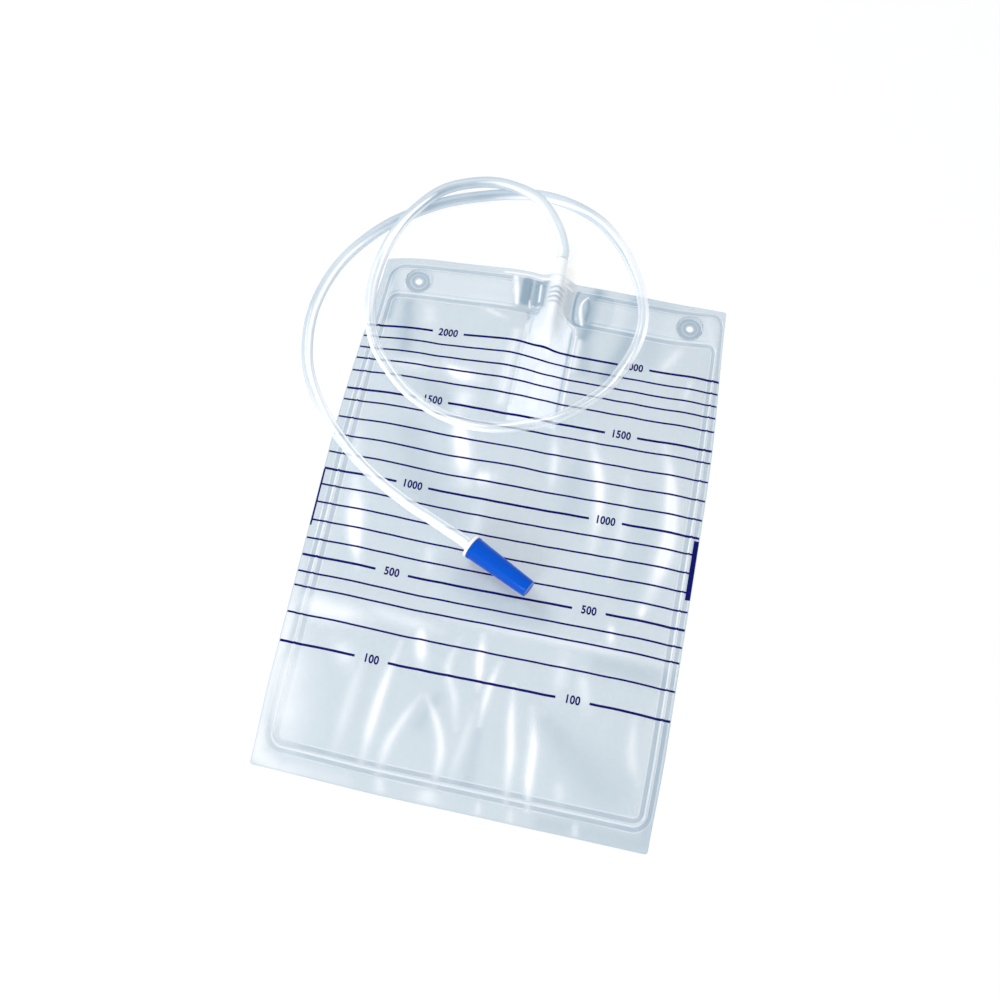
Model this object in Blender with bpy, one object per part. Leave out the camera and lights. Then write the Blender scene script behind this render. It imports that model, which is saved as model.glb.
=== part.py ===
"""Urine drainage bag: two welded films, an inlet connector with a flutter valve, a tube and a capped end.

The bag lies on its back on the table at z = 0, with its header towards +Y. The origin is on the table
under the middle of the films. Sizes are in metres.
"""

from math import cos, hypot, pi, sin

import bmesh
import bpy
from mathutils import Matrix, Vector
from mathutils.geometry import delaunay_2d_cdt, interpolate_bezier

# Films
BAG_WIDTH = 0.200
BAG_HEIGHT = 0.304
FILM_CORNER = 0.003
FILM_THICKNESS = 0.0003
CLEARANCE = 0.0003
LIP_GAP = 0.0005
CORNER_DRAW = 0.0065

# Weld pattern: two bands with a raised line between them, which widens into the header's pockets
MARGIN_LEFT = 0.0045
MARGIN_RIGHT = 0.0010
MARGIN_BOTTOM = 0.0087
MARGIN_TOP = 0.0040
BAND = 0.0028
RIB_WIDTH = 0.0014
RIB_HEIGHT = 0.0007
RIB_FLANK = 0.0004
WELD_CORNER = 0.010
HEADER_POCKET = 0.017

# Header: eyelet discs, and the small pockets beside the connector
EYELET_MARGIN = 0.0245
EYELET_DISC = 0.0148
EYELET_HOLE = 0.0042
EYELET_SIDES = 32
POCKET_END_LEFT = -0.0130
POCKET_END_RIGHT = 0.0208
SMALL_POCKET_WIDTH = 0.0064
SMALL_POCKET_LEFT = -0.0080
SMALL_POCKET_RIGHT = 0.0163

# Drape of the front film
PILLOW_LEFT = 0.0018
PILLOW_RIGHT = 0.0032
PILLOW_RUN = 0.028
RIDGE_HEIGHT = 0.0013
RIDGE_CENTRE = -0.016
RIDGE_LEFT = 0.045
RIDGE_RIGHT = 0.022
TENT_HALF_WIDTH = 0.0135
TENT_FADE_BELOW = 0.033
TENT_FADE_RUN = 0.035
MESH_STEP = 0.0025

# Inlet connector, turned about a line along Y: BELOW counts down from the films' top edge
INLET_BORE = 0.0042
INLET_SPIGOT = 0.0054
INLET_BODY = 0.0060
INLET_RIB = 0.0074
INLET_RIB_COUNT = 4
INLET_RIB_PITCH = 0.0026
SOCKET_DIAMETER = 0.0074
SOCKET_REACH = 0.0115
SOCKET_LENGTH = 0.014
SPIGOT_END_BELOW = 0.027
RIBS_START_BELOW = 0.019

# Flutter valve between the films
VALVE_WIDTH = 0.027
VALVE_NECK = 0.010
VALVE_CENTRE = 0.0015
VALVE_TOP_BELOW = 0.0205
VALVE_SHOULDER_LENGTH = 0.011
VALVE_LENGTH = 0.071
VALVE_FILM = 0.00015
VALVE_LIFT = 0.0014
VALVE_TENT_HALF = 0.0085
VALVE_TENT_RUN = 0.018

# Tube
TUBE_DIAMETER = 0.0062
TUBE_POINTS = 78

# Catheter connector and cap, turned about the cap's axis
CAP_MOUTH = (-0.0142, -0.0190, 0.0104)
CAP_HEADING = -27.0
CAP_LENGTH = 0.036
CAP_MOUTH_DIAMETER = 0.0124
CAP_END_DIAMETER = 0.0087
CAP_RIM_WIDTH = 0.0012
CAP_RIM_STEP = 0.0002
CAP_WALL = 0.0010
NOZZLE_FLANGE = 0.0126
NOZZLE_FLANGE_LENGTH = 0.0016
NOZZLE_BORE = 0.0026
NOZZLE_END_GAP = 0.0012
NOZZLE_STEPS = 3

HALF_WIDTH = BAG_WIDTH / 2
HALF_HEIGHT = BAG_HEIGHT / 2
BACK_TOP = FILM_THICKNESS
WELD_UNDERSIDE = BACK_TOP + CLEARANCE
CONNECTOR_Z = WELD_UNDERSIDE + SOCKET_DIAMETER / 2
TENT_UNDERSIDE = CONNECTOR_Z + INLET_RIB / 2 + 2.5 * CLEARANCE
HEADER_TOP = HALF_HEIGHT - MARGIN_TOP - BAND
HEADER_BOTTOM = HEADER_TOP - HEADER_POCKET
EYELET_X = HALF_WIDTH - EYELET_MARGIN
EYELET_Y = (HEADER_TOP + HEADER_BOTTOM) / 2
TENT_FADE_TOP = HALF_HEIGHT - TENT_FADE_BELOW
TENT_FADE_BOTTOM = TENT_FADE_TOP - TENT_FADE_RUN
SOCKET_TOP = HALF_HEIGHT + SOCKET_REACH
SPIGOT_END = HALF_HEIGHT - SPIGOT_END_BELOW
RIBS_START = HALF_HEIGHT - RIBS_START_BELOW
VALVE_TOP = HALF_HEIGHT - VALVE_TOP_BELOW
VALVE_SHOULDER = VALVE_TOP - VALVE_SHOULDER_LENGTH
VALVE_BOTTOM = VALVE_TOP - VALVE_LENGTH
VALVE_TENT_FADE = SPIGOT_END - VALVE_TENT_RUN


def eyelets():
    return ((-EYELET_X, EYELET_Y), (EYELET_X, EYELET_Y))


def smooth(t):
    """Rise from 0 to 1 with level ends."""
    t = min(max(t, 0.0), 1.0)
    return t * t * (3 - 2 * t)


def hill(x, centre, left, right):
    """A cosine hill, 1 at its centre and 0 past its left and right reach."""
    u = (x - centre) / (right if x > centre else left)
    return 0.5 * (1 + cos(pi * u)) if abs(u) < 1 else 0.0


def drawn(x, y):
    """The top left corner of the films lies drawn a little towards the foot of the bag."""
    at = (x, y)
    for eyelet in eyelets():
        if hypot(x - eyelet[0], y - eyelet[1]) < 0.51 * EYELET_DISC:
            at = eyelet
    return x, y - corner_draw(*at)


def corner_draw(x, y):
    across = min(max((-0.4 * HALF_WIDTH - x) / (0.6 * HALF_WIDTH), 0.0), 1.0)
    along = min(max((y + 0.13 * HALF_HEIGHT) / (1.13 * HALF_HEIGHT), 0.0), 1.0)
    return CORNER_DRAW * across**2 * along**2


# Outlines, each a closed list of points, counterclockwise
def rounded_box(left, right, bottom, top, radius, corner_steps=5, side_step=0.022):
    """A rounded rectangle with points along its sides."""
    arcs = (
        (right - radius, top - radius, 0),
        (left + radius, top - radius, 1),
        (left + radius, bottom + radius, 2),
        (right - radius, bottom + radius, 3),
    )
    points = []
    for index, (cx, cy, quarter) in enumerate(arcs):
        for step in range(corner_steps + 1):
            angle = pi / 2 * (quarter + step / corner_steps)
            points.append((cx + radius * cos(angle), cy + radius * sin(angle)))
        nx, ny, following = arcs[(index + 1) % 4]
        start = pi / 2 * following
        end = (nx + radius * cos(start), ny + radius * sin(start))
        last = points[-1]
        steps = max(1, round(hypot(end[0] - last[0], end[1] - last[1]) / side_step))
        for step in range(1, steps):
            t = step / steps
            points.append((last[0] + t * (end[0] - last[0]), last[1] + t * (end[1] - last[1])))
    return points


def circle(cx, cy, radius, count=20):
    return [
        (cx + radius * cos(2 * pi * i / count), cy + radius * sin(2 * pi * i / count))
        for i in range(count)
    ]


def weld_box(inset):
    """The outer weld's outline: inset 0 is its outer edge."""
    return dict(
        left=-HALF_WIDTH + MARGIN_LEFT + inset,
        right=HALF_WIDTH - MARGIN_RIGHT - inset,
        bottom=-HALF_HEIGHT + MARGIN_BOTTOM + inset,
        top=HALF_HEIGHT - MARGIN_TOP - inset,
        radius=max(WELD_CORNER - inset, FILM_CORNER),
    )


def pouch_box(inset):
    """The inner weld's outline: inset 0 is its outer edge, and BAND its edge at the pouch."""
    box = weld_box(BAND + RIB_WIDTH + inset)
    box["top"] = HEADER_BOTTOM - inset
    return box


def channel(inset):
    """The raised line between the welds, from one header pocket round the bag to the other."""
    outer = rounded_box(**weld_box(BAND + inset))
    inner = rounded_box(**pouch_box(-inset))
    left_end = POCKET_END_LEFT - inset
    right_end = POCKET_END_RIGHT + inset
    level_top = HEADER_TOP - inset
    level_bottom = HEADER_BOTTOM + inset
    outer = [p for p in outer if p[1] < level_top - 1e-6 or not left_end < p[0] < right_end]
    inner = [p for p in inner if p[1] < level_bottom - 1e-6 or not left_end < p[0] < right_end]
    start = next(i for i, p in enumerate(outer) if p[0] <= left_end)
    outer = outer[start:] + outer[:start]
    start = next(i for i, p in enumerate(inner) if p[0] <= left_end)
    inner = inner[start:] + inner[:start]
    closing = [(right_end, level_top), (right_end, level_bottom)]
    opening = [(left_end, level_bottom), (left_end, level_top)]
    return outer + closing + inner[::-1] + opening


def small_pocket(centre, inset):
    return rounded_box(
        centre - SMALL_POCKET_WIDTH / 2 + inset,
        centre + SMALL_POCKET_WIDTH / 2 - inset,
        HEADER_BOTTOM + inset,
        HEADER_TOP - inset,
        SMALL_POCKET_WIDTH / 2 - inset - 1e-5,
        corner_steps=3,
    )


def inside(loop, x, y):
    """Whether a point lies inside a closed outline."""
    odd = False
    for (ax, ay), (bx, by) in zip(loop, loop[1:] + loop[:1]):
        if (ay > y) != (by > y) and x < ax + (y - ay) * (bx - ax) / (by - ay):
            odd = not odd
    return odd


def distance(loop, x, y):
    """The distance from a point to a closed outline."""
    best = 1.0
    for (ax, ay), (bx, by) in zip(loop, loop[1:] + loop[:1]):
        dx, dy = bx - ax, by - ay
        t = min(max(((x - ax) * dx + (y - ay) * dy) / (dx * dx + dy * dy), 0.0), 1.0)
        best = min(best, hypot(x - ax - t * dx, y - ay - t * dy))
    return best


# Heights of the front film's underside
def pillow(x, y):
    """The empty pouch's slack, from its welded edge to its middle."""
    edge = rounded_box(**pouch_box(BAND))
    if not inside(edge, x, y):
        return 0.0
    run = min(distance(edge, x, y) / PILLOW_RUN, 1.0)
    side = smooth((x + 0.6 * HALF_WIDTH) / (1.2 * HALF_WIDTH))
    return (1 - (1 - run) ** 2) * (PILLOW_LEFT + side * (PILLOW_RIGHT - PILLOW_LEFT))


def drape(x, y):
    """The front film's lift: pillow, ridge left of the valve, rise over the valve, tent over the connector."""
    rising = smooth((y - 0.3 * HALF_HEIGHT) / (0.26 * HALF_HEIGHT))
    ridge = RIDGE_HEIGHT * hill(x, RIDGE_CENTRE, RIDGE_LEFT, RIDGE_RIGHT) * rising
    over_valve = VALVE_LIFT * hill(x, VALVE_CENTRE, 0.8 * VALVE_WIDTH, 0.8 * VALVE_WIDTH)
    over_valve *= smooth((y - VALVE_BOTTOM + 0.4 * VALVE_WIDTH) / (0.4 * VALVE_WIDTH))
    fade = smooth((y - TENT_FADE_BOTTOM) / (TENT_FADE_TOP - TENT_FADE_BOTTOM))
    tent = (TENT_UNDERSIDE - WELD_UNDERSIDE) * fade
    tent *= hill(x, 0.0, TENT_HALF_WIDTH, TENT_HALF_WIDTH)
    return hypot(tent, ridge + over_valve + pillow(x, y))


def refined(loop):
    """An outline with more points where it crosses the tent over the connector."""
    fine = []
    for (ax, ay), (bx, by) in zip(loop, loop[1:] + loop[:1]):
        fine.append((ax, ay))
        off_tent = min(ax, bx) > TENT_HALF_WIDTH or max(ax, bx) < -TENT_HALF_WIDTH
        if off_tent or max(ay, by) < TENT_FADE_BOTTOM:
            continue
        cuts = [(x - ax) / (bx - ax) for x in tent_columns() if abs(bx - ax) > MESH_STEP / 2]
        if not cuts:
            steps = round(abs(by - ay) / (2 * MESH_STEP))
            cuts = [i / steps for i in range(1, steps)]
        near = MESH_STEP / 4 / hypot(bx - ax, by - ay)
        cuts = sorted(t for t in cuts if near < t < 1 - near)
        fine += [(ax + t * (bx - ax), ay + t * (by - ay)) for t in cuts]
    return fine


def tent_columns():
    """Where the mesh is cut across the tent, closer together near its crest."""
    shares = (0.16, 0.33, 0.55, 0.80, 1.1)
    return sorted([0.0] + [side * share * TENT_HALF_WIDTH for share in shares for side in (-1, 1)])


def sheet(name, outlines, holes, points, underside, colour, thickness=FILM_THICKNESS, alpha=0.55):
    """A closed film from its outlines and inner points, each (x, y, emboss), set at underside(x, y)."""
    flat, emboss, edges = [], [], []
    outlines = [(refined(loop), height) for loop, height in outlines]
    for loop, height in outlines:
        first = len(flat)
        flat += loop
        emboss += [height] * len(loop)
        edges += [(first + i, first + (i + 1) % len(loop)) for i in range(len(loop))]
    flat += [(x, y) for x, y, height in points]
    emboss += [height for x, y, height in points]
    found = delaunay_2d_cdt([Vector(p) for p in flat], edges, [], 0, 1e-7)
    vertices, faces, origins = found[0], found[2], found[3]
    film = bmesh.new()
    lower, upper = [], []
    for vertex, origin in zip(vertices, origins):
        x, y = drawn(vertex.x, vertex.y)
        z = underside(vertex.x, vertex.y) + emboss[origin[0]]
        lower.append(film.verts.new((x, y, z)))
        upper.append(film.verts.new((x, y, z + thickness)))
    outer = outlines[0][0]
    for face in faces:
        cx = sum(vertices[i].x for i in face) / len(face)
        cy = sum(vertices[i].y for i in face) / len(face)
        if any(inside(hole, cx, cy) for hole in holes) or not inside(outer, cx, cy):
            continue
        film.faces.new([upper[i] for i in face])
        film.faces.new([lower[i] for i in reversed(face)])
    rims = [edge for edge in film.edges if len(edge.link_faces) == 1]
    partner = dict(zip(upper, lower))
    for edge in [edge for edge in rims if edge.verts[0] in partner]:
        a, b = edge.verts
        if edge.link_loops[0].vert != a:
            a, b = b, a
        film.faces.new((b, a, partner[a], partner[b]))
    loose = [vertex for vertex in film.verts if not vertex.link_faces]
    bmesh.ops.delete(film, geom=loose, context="VERTS")
    return finish(film, name, colour, roughness=0.3, alpha=alpha)


def finish(mesh, name, colour, roughness, alpha=1.0):
    """Turn a bmesh into a named, coloured object."""
    data = bpy.data.meshes.new(name)
    mesh.to_mesh(data)
    mesh.free()
    thing = bpy.data.objects.new(name, data)
    bpy.context.collection.objects.link(thing)
    paint(thing, colour, roughness, alpha)
    return thing


def paint(thing, colour, roughness, alpha=1.0):
    material = bpy.data.materials.new(thing.name)
    material.use_nodes = True
    shader = material.node_tree.nodes["Principled BSDF"]
    shader.inputs["Base Color"].default_value = (*colour, 1.0)
    shader.inputs["Roughness"].default_value = roughness
    shader.inputs["Alpha"].default_value = alpha
    thing.data.materials.append(material)


def turned(name, profile, placement, colour, sides=24):
    """A closed solid of revolution: profile is (radius, distance along the axis), around the section."""
    mesh = bmesh.new()
    section = [mesh.verts.new((radius, 0, along)) for radius, along in profile]
    edges = [mesh.edges.new((a, b)) for a, b in zip(section, section[1:] + section[:1])]
    if min(radius for radius, along in profile) < 1e-9:
        edges = [e for e in edges if max(v.co.x for v in e.verts) > 1e-9]
    bmesh.ops.spin(
        mesh,
        geom=section + edges,
        cent=(0, 0, 0),
        axis=(0, 0, 1),
        angle=2 * pi,
        steps=sides,
        use_merge=True,
    )
    bmesh.ops.remove_doubles(mesh, verts=mesh.verts, dist=1e-7)
    bmesh.ops.dissolve_degenerate(mesh, dist=1e-7, edges=mesh.edges)
    stray = [edge for edge in mesh.edges if not edge.link_faces]
    bmesh.ops.delete(mesh, geom=stray, context="EDGES")
    bmesh.ops.recalc_face_normals(mesh, faces=mesh.faces)
    thing = finish(mesh, name, colour, roughness=0.35)
    thing.matrix_world = placement
    thing.data.shade_smooth()
    thing.data.set_sharp_from_angle(angle=pi / 5)
    return thing


# Pieces
FILM_COLOUR = (0.76, 0.83, 0.88)
CLEAR_COLOUR = (0.90, 0.94, 0.97)
WHITE_COLOUR = (0.92, 0.93, 0.94)
CAP_COLOUR = (0.02, 0.10, 0.62)


def film_edge():
    return rounded_box(
        -HALF_WIDTH, HALF_WIDTH, -HALF_HEIGHT, HALF_HEIGHT, FILM_CORNER, corner_steps=3, side_step=0.012
    )


def make_back_film():
    holes = [circle(x, y, EYELET_HOLE / 2, EYELET_SIDES) for x, y in eyelets()]
    outlines = [(film_edge(), 0.0)] + [(hole, 0.0) for hole in holes]
    return sheet("back_film", outlines, holes, [], lambda x, y: 0.0, FILM_COLOUR)


def make_front_film():
    """The embossed film: margin, welds, raised line, header pockets, eyelets, pouch and tent."""
    rib = RIB_HEIGHT
    pouch_edge = rounded_box(**pouch_box(BAND))
    outlines = [
        (film_edge(), LIP_GAP - CLEARANCE),
        (rounded_box(**weld_box(0.0)), 0.0),
        (channel(0.0), 0.0),
        (channel(RIB_FLANK), rib),
        (pouch_edge, 0.0),
    ]
    holes = []
    for x, y in eyelets():
        outlines.append((circle(x, y, EYELET_DISC / 2), rib))
        outlines.append((circle(x, y, EYELET_DISC / 2 - RIB_FLANK), 0.0))
        holes.append(circle(x, y, EYELET_HOLE / 2, EYELET_SIDES))
        outlines.append((holes[-1], 0.0))
    for centre in (SMALL_POCKET_LEFT, SMALL_POCKET_RIGHT):
        outlines.append((small_pocket(centre, 0.0), 0.0))
        outlines.append((small_pocket(centre, 2 * RIB_FLANK), rib))
    for inset in (0.15 * PILLOW_RUN, 0.45 * PILLOW_RUN):
        outlines.append((rounded_box(**pouch_box(BAND + inset)), 0.0))
    raised = channel(RIB_FLANK)
    points = []
    loops = [loop for loop, height in outlines]
    shares = (0.21, 0.30, 0.42, 0.56, 0.71, 0.85)
    columns = tent_columns() + [side * share * HALF_WIDTH for share in shares for side in (-1, 1)]
    rows = [-HALF_HEIGHT + 12 * MESH_STEP + 8 * MESH_STEP * i for i in range(10)]
    rows += [0.3 * HALF_HEIGHT + 3.6 * MESH_STEP * i for i in range(13)]
    for x in columns:
        for y in rows:
            near = min(distance(loop, x, y) for loop in loops)
            if near < 0.0012 or not inside(loops[0], x, y):
                continue
            if any(hypot(x - ex, y - ey) < EYELET_DISC / 2 for ex, ey in eyelets()):
                continue
            points.append((x, y, rib if inside(raised, x, y) else 0.0))

    def underside(x, y):
        return WELD_UNDERSIDE + drape(x, y)

    return sheet("front_film", outlines, holes, points, underside, FILM_COLOUR)


def valve_outline():
    half, neck = VALVE_WIDTH / 2, VALVE_NECK / 2
    shape = [
        (VALVE_CENTRE - half, VALVE_BOTTOM),
        (VALVE_CENTRE + half, VALVE_BOTTOM),
        (VALVE_CENTRE + half, VALVE_SHOULDER),
        (neck, VALVE_TOP),
        (-neck, VALVE_TOP),
        (VALVE_CENTRE - half, VALVE_SHOULDER),
    ]
    points = []
    for (ax, ay), (bx, by) in zip(shape, shape[1:] + shape[:1]):
        steps = max(1, round(hypot(bx - ax, by - ay) / 0.0035))
        points += [(ax + (bx - ax) * i / steps, ay + (by - ay) * i / steps) for i in range(steps)]
    return points


def make_valve_films():
    """Two flat films, one under the connector's spigot and one tented over it."""
    outline = valve_outline()
    points = []
    for i in range(-6, 7):
        for j in range(20):
            x, y = i * 0.0019, VALVE_BOTTOM + 0.0018 + j * 0.0036
            if inside(outline, x, y) and distance(outline, x, y) > 0.001:
                points.append((x, y, 0.0))
    back_underside = BACK_TOP + CLEARANCE
    front_flat = back_underside + VALVE_FILM + CLEARANCE
    tent = CONNECTOR_Z + INLET_SPIGOT / 2 + 2 * CLEARANCE - front_flat

    def front_underside(x, y):
        fade = smooth((y - VALVE_TENT_FADE) / (SPIGOT_END - VALVE_TENT_FADE))
        return front_flat + tent * fade * hill(x, 0.0, VALVE_TENT_HALF, VALVE_TENT_HALF)

    loops = [(outline, 0.0)]
    sheet("valve_back_film", loops, [], [], lambda x, y: back_underside, WHITE_COLOUR, VALVE_FILM)
    sheet("valve_front_film", loops, [], points, front_underside, WHITE_COLOUR, VALVE_FILM)


def make_inlet_connector():
    """A moulded connector: spigot, barbed ribs, plain body in the weld, and the tube's socket."""
    bore, body, rib = INLET_BORE / 2, INLET_BODY / 2, INLET_RIB / 2
    spigot, socket = INLET_SPIGOT / 2, SOCKET_DIAMETER / 2
    chamfer = 0.0004
    profile = [(bore, SPIGOT_END), (spigot, SPIGOT_END), (spigot, RIBS_START), (body, RIBS_START)]
    for i in range(INLET_RIB_COUNT):
        low = RIBS_START + INLET_RIB_PITCH * (i + 0.25)
        profile += [(body, low), (rib, low + 0.3 * INLET_RIB_PITCH), (rib, low + 0.45 * INLET_RIB_PITCH)]
        profile += [(body, low + 0.7 * INLET_RIB_PITCH)]
    socket_base = SOCKET_TOP - SOCKET_LENGTH
    ribs_end = RIBS_START + INLET_RIB_PITCH * INLET_RIB_COUNT
    profile += [(body, ribs_end), (rib, ribs_end + chamfer), (rib, socket_base)]
    profile += [(socket, socket_base + chamfer), (socket, SOCKET_TOP - chamfer)]
    profile += [(socket - chamfer, SOCKET_TOP), (bore, SOCKET_TOP)]
    placement = Matrix.Translation((0, 0, CONNECTOR_Z)) @ Matrix.Rotation(-pi / 2, 4, "X")
    return turned("inlet_connector", profile, placement, WHITE_COLOUR)


# The tube's route: it leaves the socket, loops over the header and the pouch, and ends at the cap
TUBE_ROUTE = (
    (0.0000, SOCKET_TOP + CLEARANCE, CONNECTOR_Z),
    (0.0000, SOCKET_TOP + CLEARANCE + TUBE_DIAMETER, CONNECTOR_Z),
    (-0.0050, 0.1815, 0.0068),
    (-0.0147, 0.1929, 0.0096),
    (-0.0245, 0.1993, 0.0099),
    (-0.0425, 0.2025, 0.0097),
    (-0.0590, 0.1993, 0.0091),
    (-0.0745, 0.1900, 0.0093),
    (-0.0872, 0.1720, 0.0098),
    (-0.0935, 0.1580, 0.0088),
    (-0.0972, 0.1450, 0.0066),
    (-0.0988, 0.1310, 0.0055),
    (-0.0982, 0.1175, 0.0052),
    (-0.0958, 0.1050, 0.0054),
    (-0.0917, 0.0935, 0.0058),
    (-0.0845, 0.0815, 0.0062),
    (-0.0664, 0.0640, 0.0069),
    (-0.0456, 0.0540, 0.0072),
    (-0.0243, 0.0515, 0.0073),
    (-0.0038, 0.0555, 0.0082),
    (0.0163, 0.0655, 0.0083),
    (0.0350, 0.0845, 0.0081),
    (0.0432, 0.0995, 0.0081),
    (0.0488, 0.1160, 0.0078),
    (0.0504, 0.1335, 0.0068),
    (0.0470, 0.1500, 0.0056),
    (0.0404, 0.1660, 0.0041),
    (0.0305, 0.1812, 0.0032),
    (0.0150, 0.1953, 0.00315),
    (-0.0074, 0.2030, 0.00315),
    (-0.0310, 0.2022, 0.00315),
    (-0.0630, 0.1915, 0.00315),
    (-0.0838, 0.1790, 0.00315),
    (-0.1037, 0.1610, 0.00315),
    (-0.1199, 0.1350, 0.00315),
    (-0.1270, 0.1050, 0.00315),
    (-0.1237, 0.0750, 0.00325),
    (-0.1125, 0.0510, 0.0037),
    (-0.0940, 0.0290, 0.0054),
    (-0.0740, 0.0122, 0.0066),
    (-0.0517, -0.0008, 0.0078),
    (-0.0390, -0.0068, 0.0091),
    (-0.0285, -0.0119, 0.0100),
)


def cap_frame():
    """The cap's place: its mouth at the origin and its closed end along +Z."""
    heading = CAP_HEADING * pi / 180
    along = Vector((cos(heading), sin(heading), 0))
    turn = along.to_track_quat("Z", "Y").to_matrix().to_4x4()
    return Matrix.Translation(CAP_MOUTH) @ turn


def curve_through(route, count):
    """Points at even steps along a smooth curve through the route."""
    points = [Vector(p) for p in route]
    handles = [(points[1] - points[0]) / 3]
    handles += [(b - a) / 6 for a, b in zip(points, points[2:])]
    handles.append((points[-1] - points[-2]) / 3)
    fine = [points[0]]
    for i in range(len(points) - 1):
        start, end = points[i], points[i + 1]
        piece = interpolate_bezier(start, start + handles[i], end - handles[i + 1], end, 17)
        fine += piece[1:]
    run = [0.0]
    for a, b in zip(fine, fine[1:]):
        run.append(run[-1] + (b - a).length)
    even, segment = [], 0
    for i in range(count):
        target = run[-1] * i / (count - 1)
        while segment < len(run) - 2 and run[segment + 1] < target:
            segment += 1
        t = (target - run[segment]) / (run[segment + 1] - run[segment])
        even.append(fine[segment].lerp(fine[segment + 1], t))
    return even


def make_tube():
    frame = cap_frame()
    flange_face = -NOZZLE_FLANGE_LENGTH - 2 * CLEARANCE
    end = frame @ Vector((0, 0, flange_face))
    before = frame @ Vector((0, 0, flange_face - TUBE_DIAMETER))
    route = [*TUBE_ROUTE, tuple(before), tuple(end)]
    curve = bpy.data.curves.new("drainage_tube", "CURVE")
    curve.dimensions = "3D"
    curve.bevel_depth = TUBE_DIAMETER / 2
    curve.bevel_resolution = 3
    curve.use_fill_caps = True
    spline = curve.splines.new("POLY")
    points = curve_through(route, TUBE_POINTS)
    points[1:1] = [Vector(route[1])]
    points[-1:-1] = [before]
    spline.points.add(len(points) - 1)
    for target, point in zip(spline.points, points):
        target.co = (*point, 1.0)
    tube = bpy.data.objects.new("drainage_tube", curve)
    bpy.context.collection.objects.link(tube)
    paint(tube, CLEAR_COLOUR, 0.15, 0.6)
    return tube


def cap_radius(along):
    """The cap's outer radius at a distance from its mouth."""
    share = along / CAP_LENGTH
    return (CAP_MOUTH_DIAMETER + share * (CAP_END_DIAMETER - CAP_MOUTH_DIAMETER)) / 2


def make_catheter_connector():
    """A flange that the tube meets, and a nozzle of tapered steps inside the cap."""
    bore, flange = NOZZLE_BORE / 2, NOZZLE_FLANGE / 2
    back = -CLEARANCE - NOZZLE_FLANGE_LENGTH
    tip = CAP_LENGTH - CAP_WALL - NOZZLE_END_GAP
    chamfer = 0.0003
    profile = [(bore, back), (flange - chamfer, back), (flange, back + chamfer), (flange, -CLEARANCE)]
    for i in range(NOZZLE_STEPS):
        low, high = tip * i / NOZZLE_STEPS, tip * (i + 1) / NOZZLE_STEPS
        wide = cap_radius(high) - CAP_WALL - CLEARANCE
        narrow = wide - 0.5 * CAP_WALL
        if i == 0:
            profile.append((wide, -CLEARANCE))
        else:
            profile.append((wide, low))
        profile.append((narrow, high - chamfer))
    profile += [(narrow - chamfer, tip), (bore, tip)]
    return turned("catheter_connector", profile, cap_frame(), WHITE_COLOUR)


def make_cap():
    """A tapered cap with a rim at its mouth and a shallow dish in its closed end."""
    rim = CAP_RIM_WIDTH
    chamfer = 0.0005
    mouth, end = cap_radius(0.0), cap_radius(CAP_LENGTH)
    floor = CAP_LENGTH - CAP_WALL
    dish = 0.35 * CAP_WALL
    profile = [
        (mouth - CAP_WALL, 0.0),
        (mouth, 0.0),
        (mouth, rim),
        (cap_radius(rim) - CAP_RIM_STEP, rim),
        (end - 0.2 * chamfer, CAP_LENGTH - chamfer),
        (end - chamfer, CAP_LENGTH),
        (0.72 * end, CAP_LENGTH),
        (0.60 * end, CAP_LENGTH - dish),
        (0.0, CAP_LENGTH - dish),
        (0.0, floor),
        (cap_radius(floor) - CAP_WALL, floor),
    ]
    return turned("protective_cap", profile, cap_frame(), CAP_COLOUR, sides=32)


def clear_scene():
    for thing in list(bpy.data.objects):
        bpy.data.objects.remove(thing)


def main():
    clear_scene()
    make_back_film()
    make_front_film()
    make_valve_films()
    make_inlet_connector()
    make_tube()
    make_catheter_connector()
    make_cap()


main()
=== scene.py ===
"""The looks of a urine drainage bag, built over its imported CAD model.

The bag lies on its back: +X runs across it, +Y towards its header and +Z up. Lists and functions that
describe the film, the print, the tube's route and the mouldings are in millimetres. Meshes, the stage
and the settings are in metres.
"""

from math import asin, atan2, cos, hypot, pi, radians, sin, sqrt

import bmesh
import bpy
import numpy as np
from bpy.props import FloatProperty, FloatVectorProperty, IntProperty, PointerProperty
from bpy.types import Operator, Panel, PropertyGroup
from mathutils import Matrix, Vector
from mathutils.geometry import interpolate_bezier


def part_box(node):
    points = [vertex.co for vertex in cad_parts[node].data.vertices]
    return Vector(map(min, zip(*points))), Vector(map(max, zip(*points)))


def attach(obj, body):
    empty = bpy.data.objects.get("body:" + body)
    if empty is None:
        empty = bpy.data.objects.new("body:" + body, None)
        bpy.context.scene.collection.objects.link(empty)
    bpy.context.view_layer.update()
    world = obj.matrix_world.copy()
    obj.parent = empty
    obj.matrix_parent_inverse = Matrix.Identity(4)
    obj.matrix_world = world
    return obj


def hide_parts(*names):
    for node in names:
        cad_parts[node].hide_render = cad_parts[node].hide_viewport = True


bl_info = {
    "name": "Urine Drainage Bag",
    "version": (1, 0, 0),
    "blender": (4, 5, 0),
    "location": "View3D > Sidebar > Drainage Bag",
    "description": "Builds the films, print, valve, tube, connectors, cap and stage of a drainage bag",
    "category": "Add Mesh",
}

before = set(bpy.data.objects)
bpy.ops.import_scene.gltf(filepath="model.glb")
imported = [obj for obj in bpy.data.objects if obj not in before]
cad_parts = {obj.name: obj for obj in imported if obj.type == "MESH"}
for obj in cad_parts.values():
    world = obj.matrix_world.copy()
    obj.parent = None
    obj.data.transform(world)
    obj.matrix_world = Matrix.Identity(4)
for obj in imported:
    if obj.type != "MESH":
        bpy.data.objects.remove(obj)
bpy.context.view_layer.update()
MM = 0.001


def node_box(node):
    """A CAD node's lowest and highest corners, in millimetres."""
    low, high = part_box(node)
    return np.array(low) / MM, np.array(high) / MM


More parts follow.
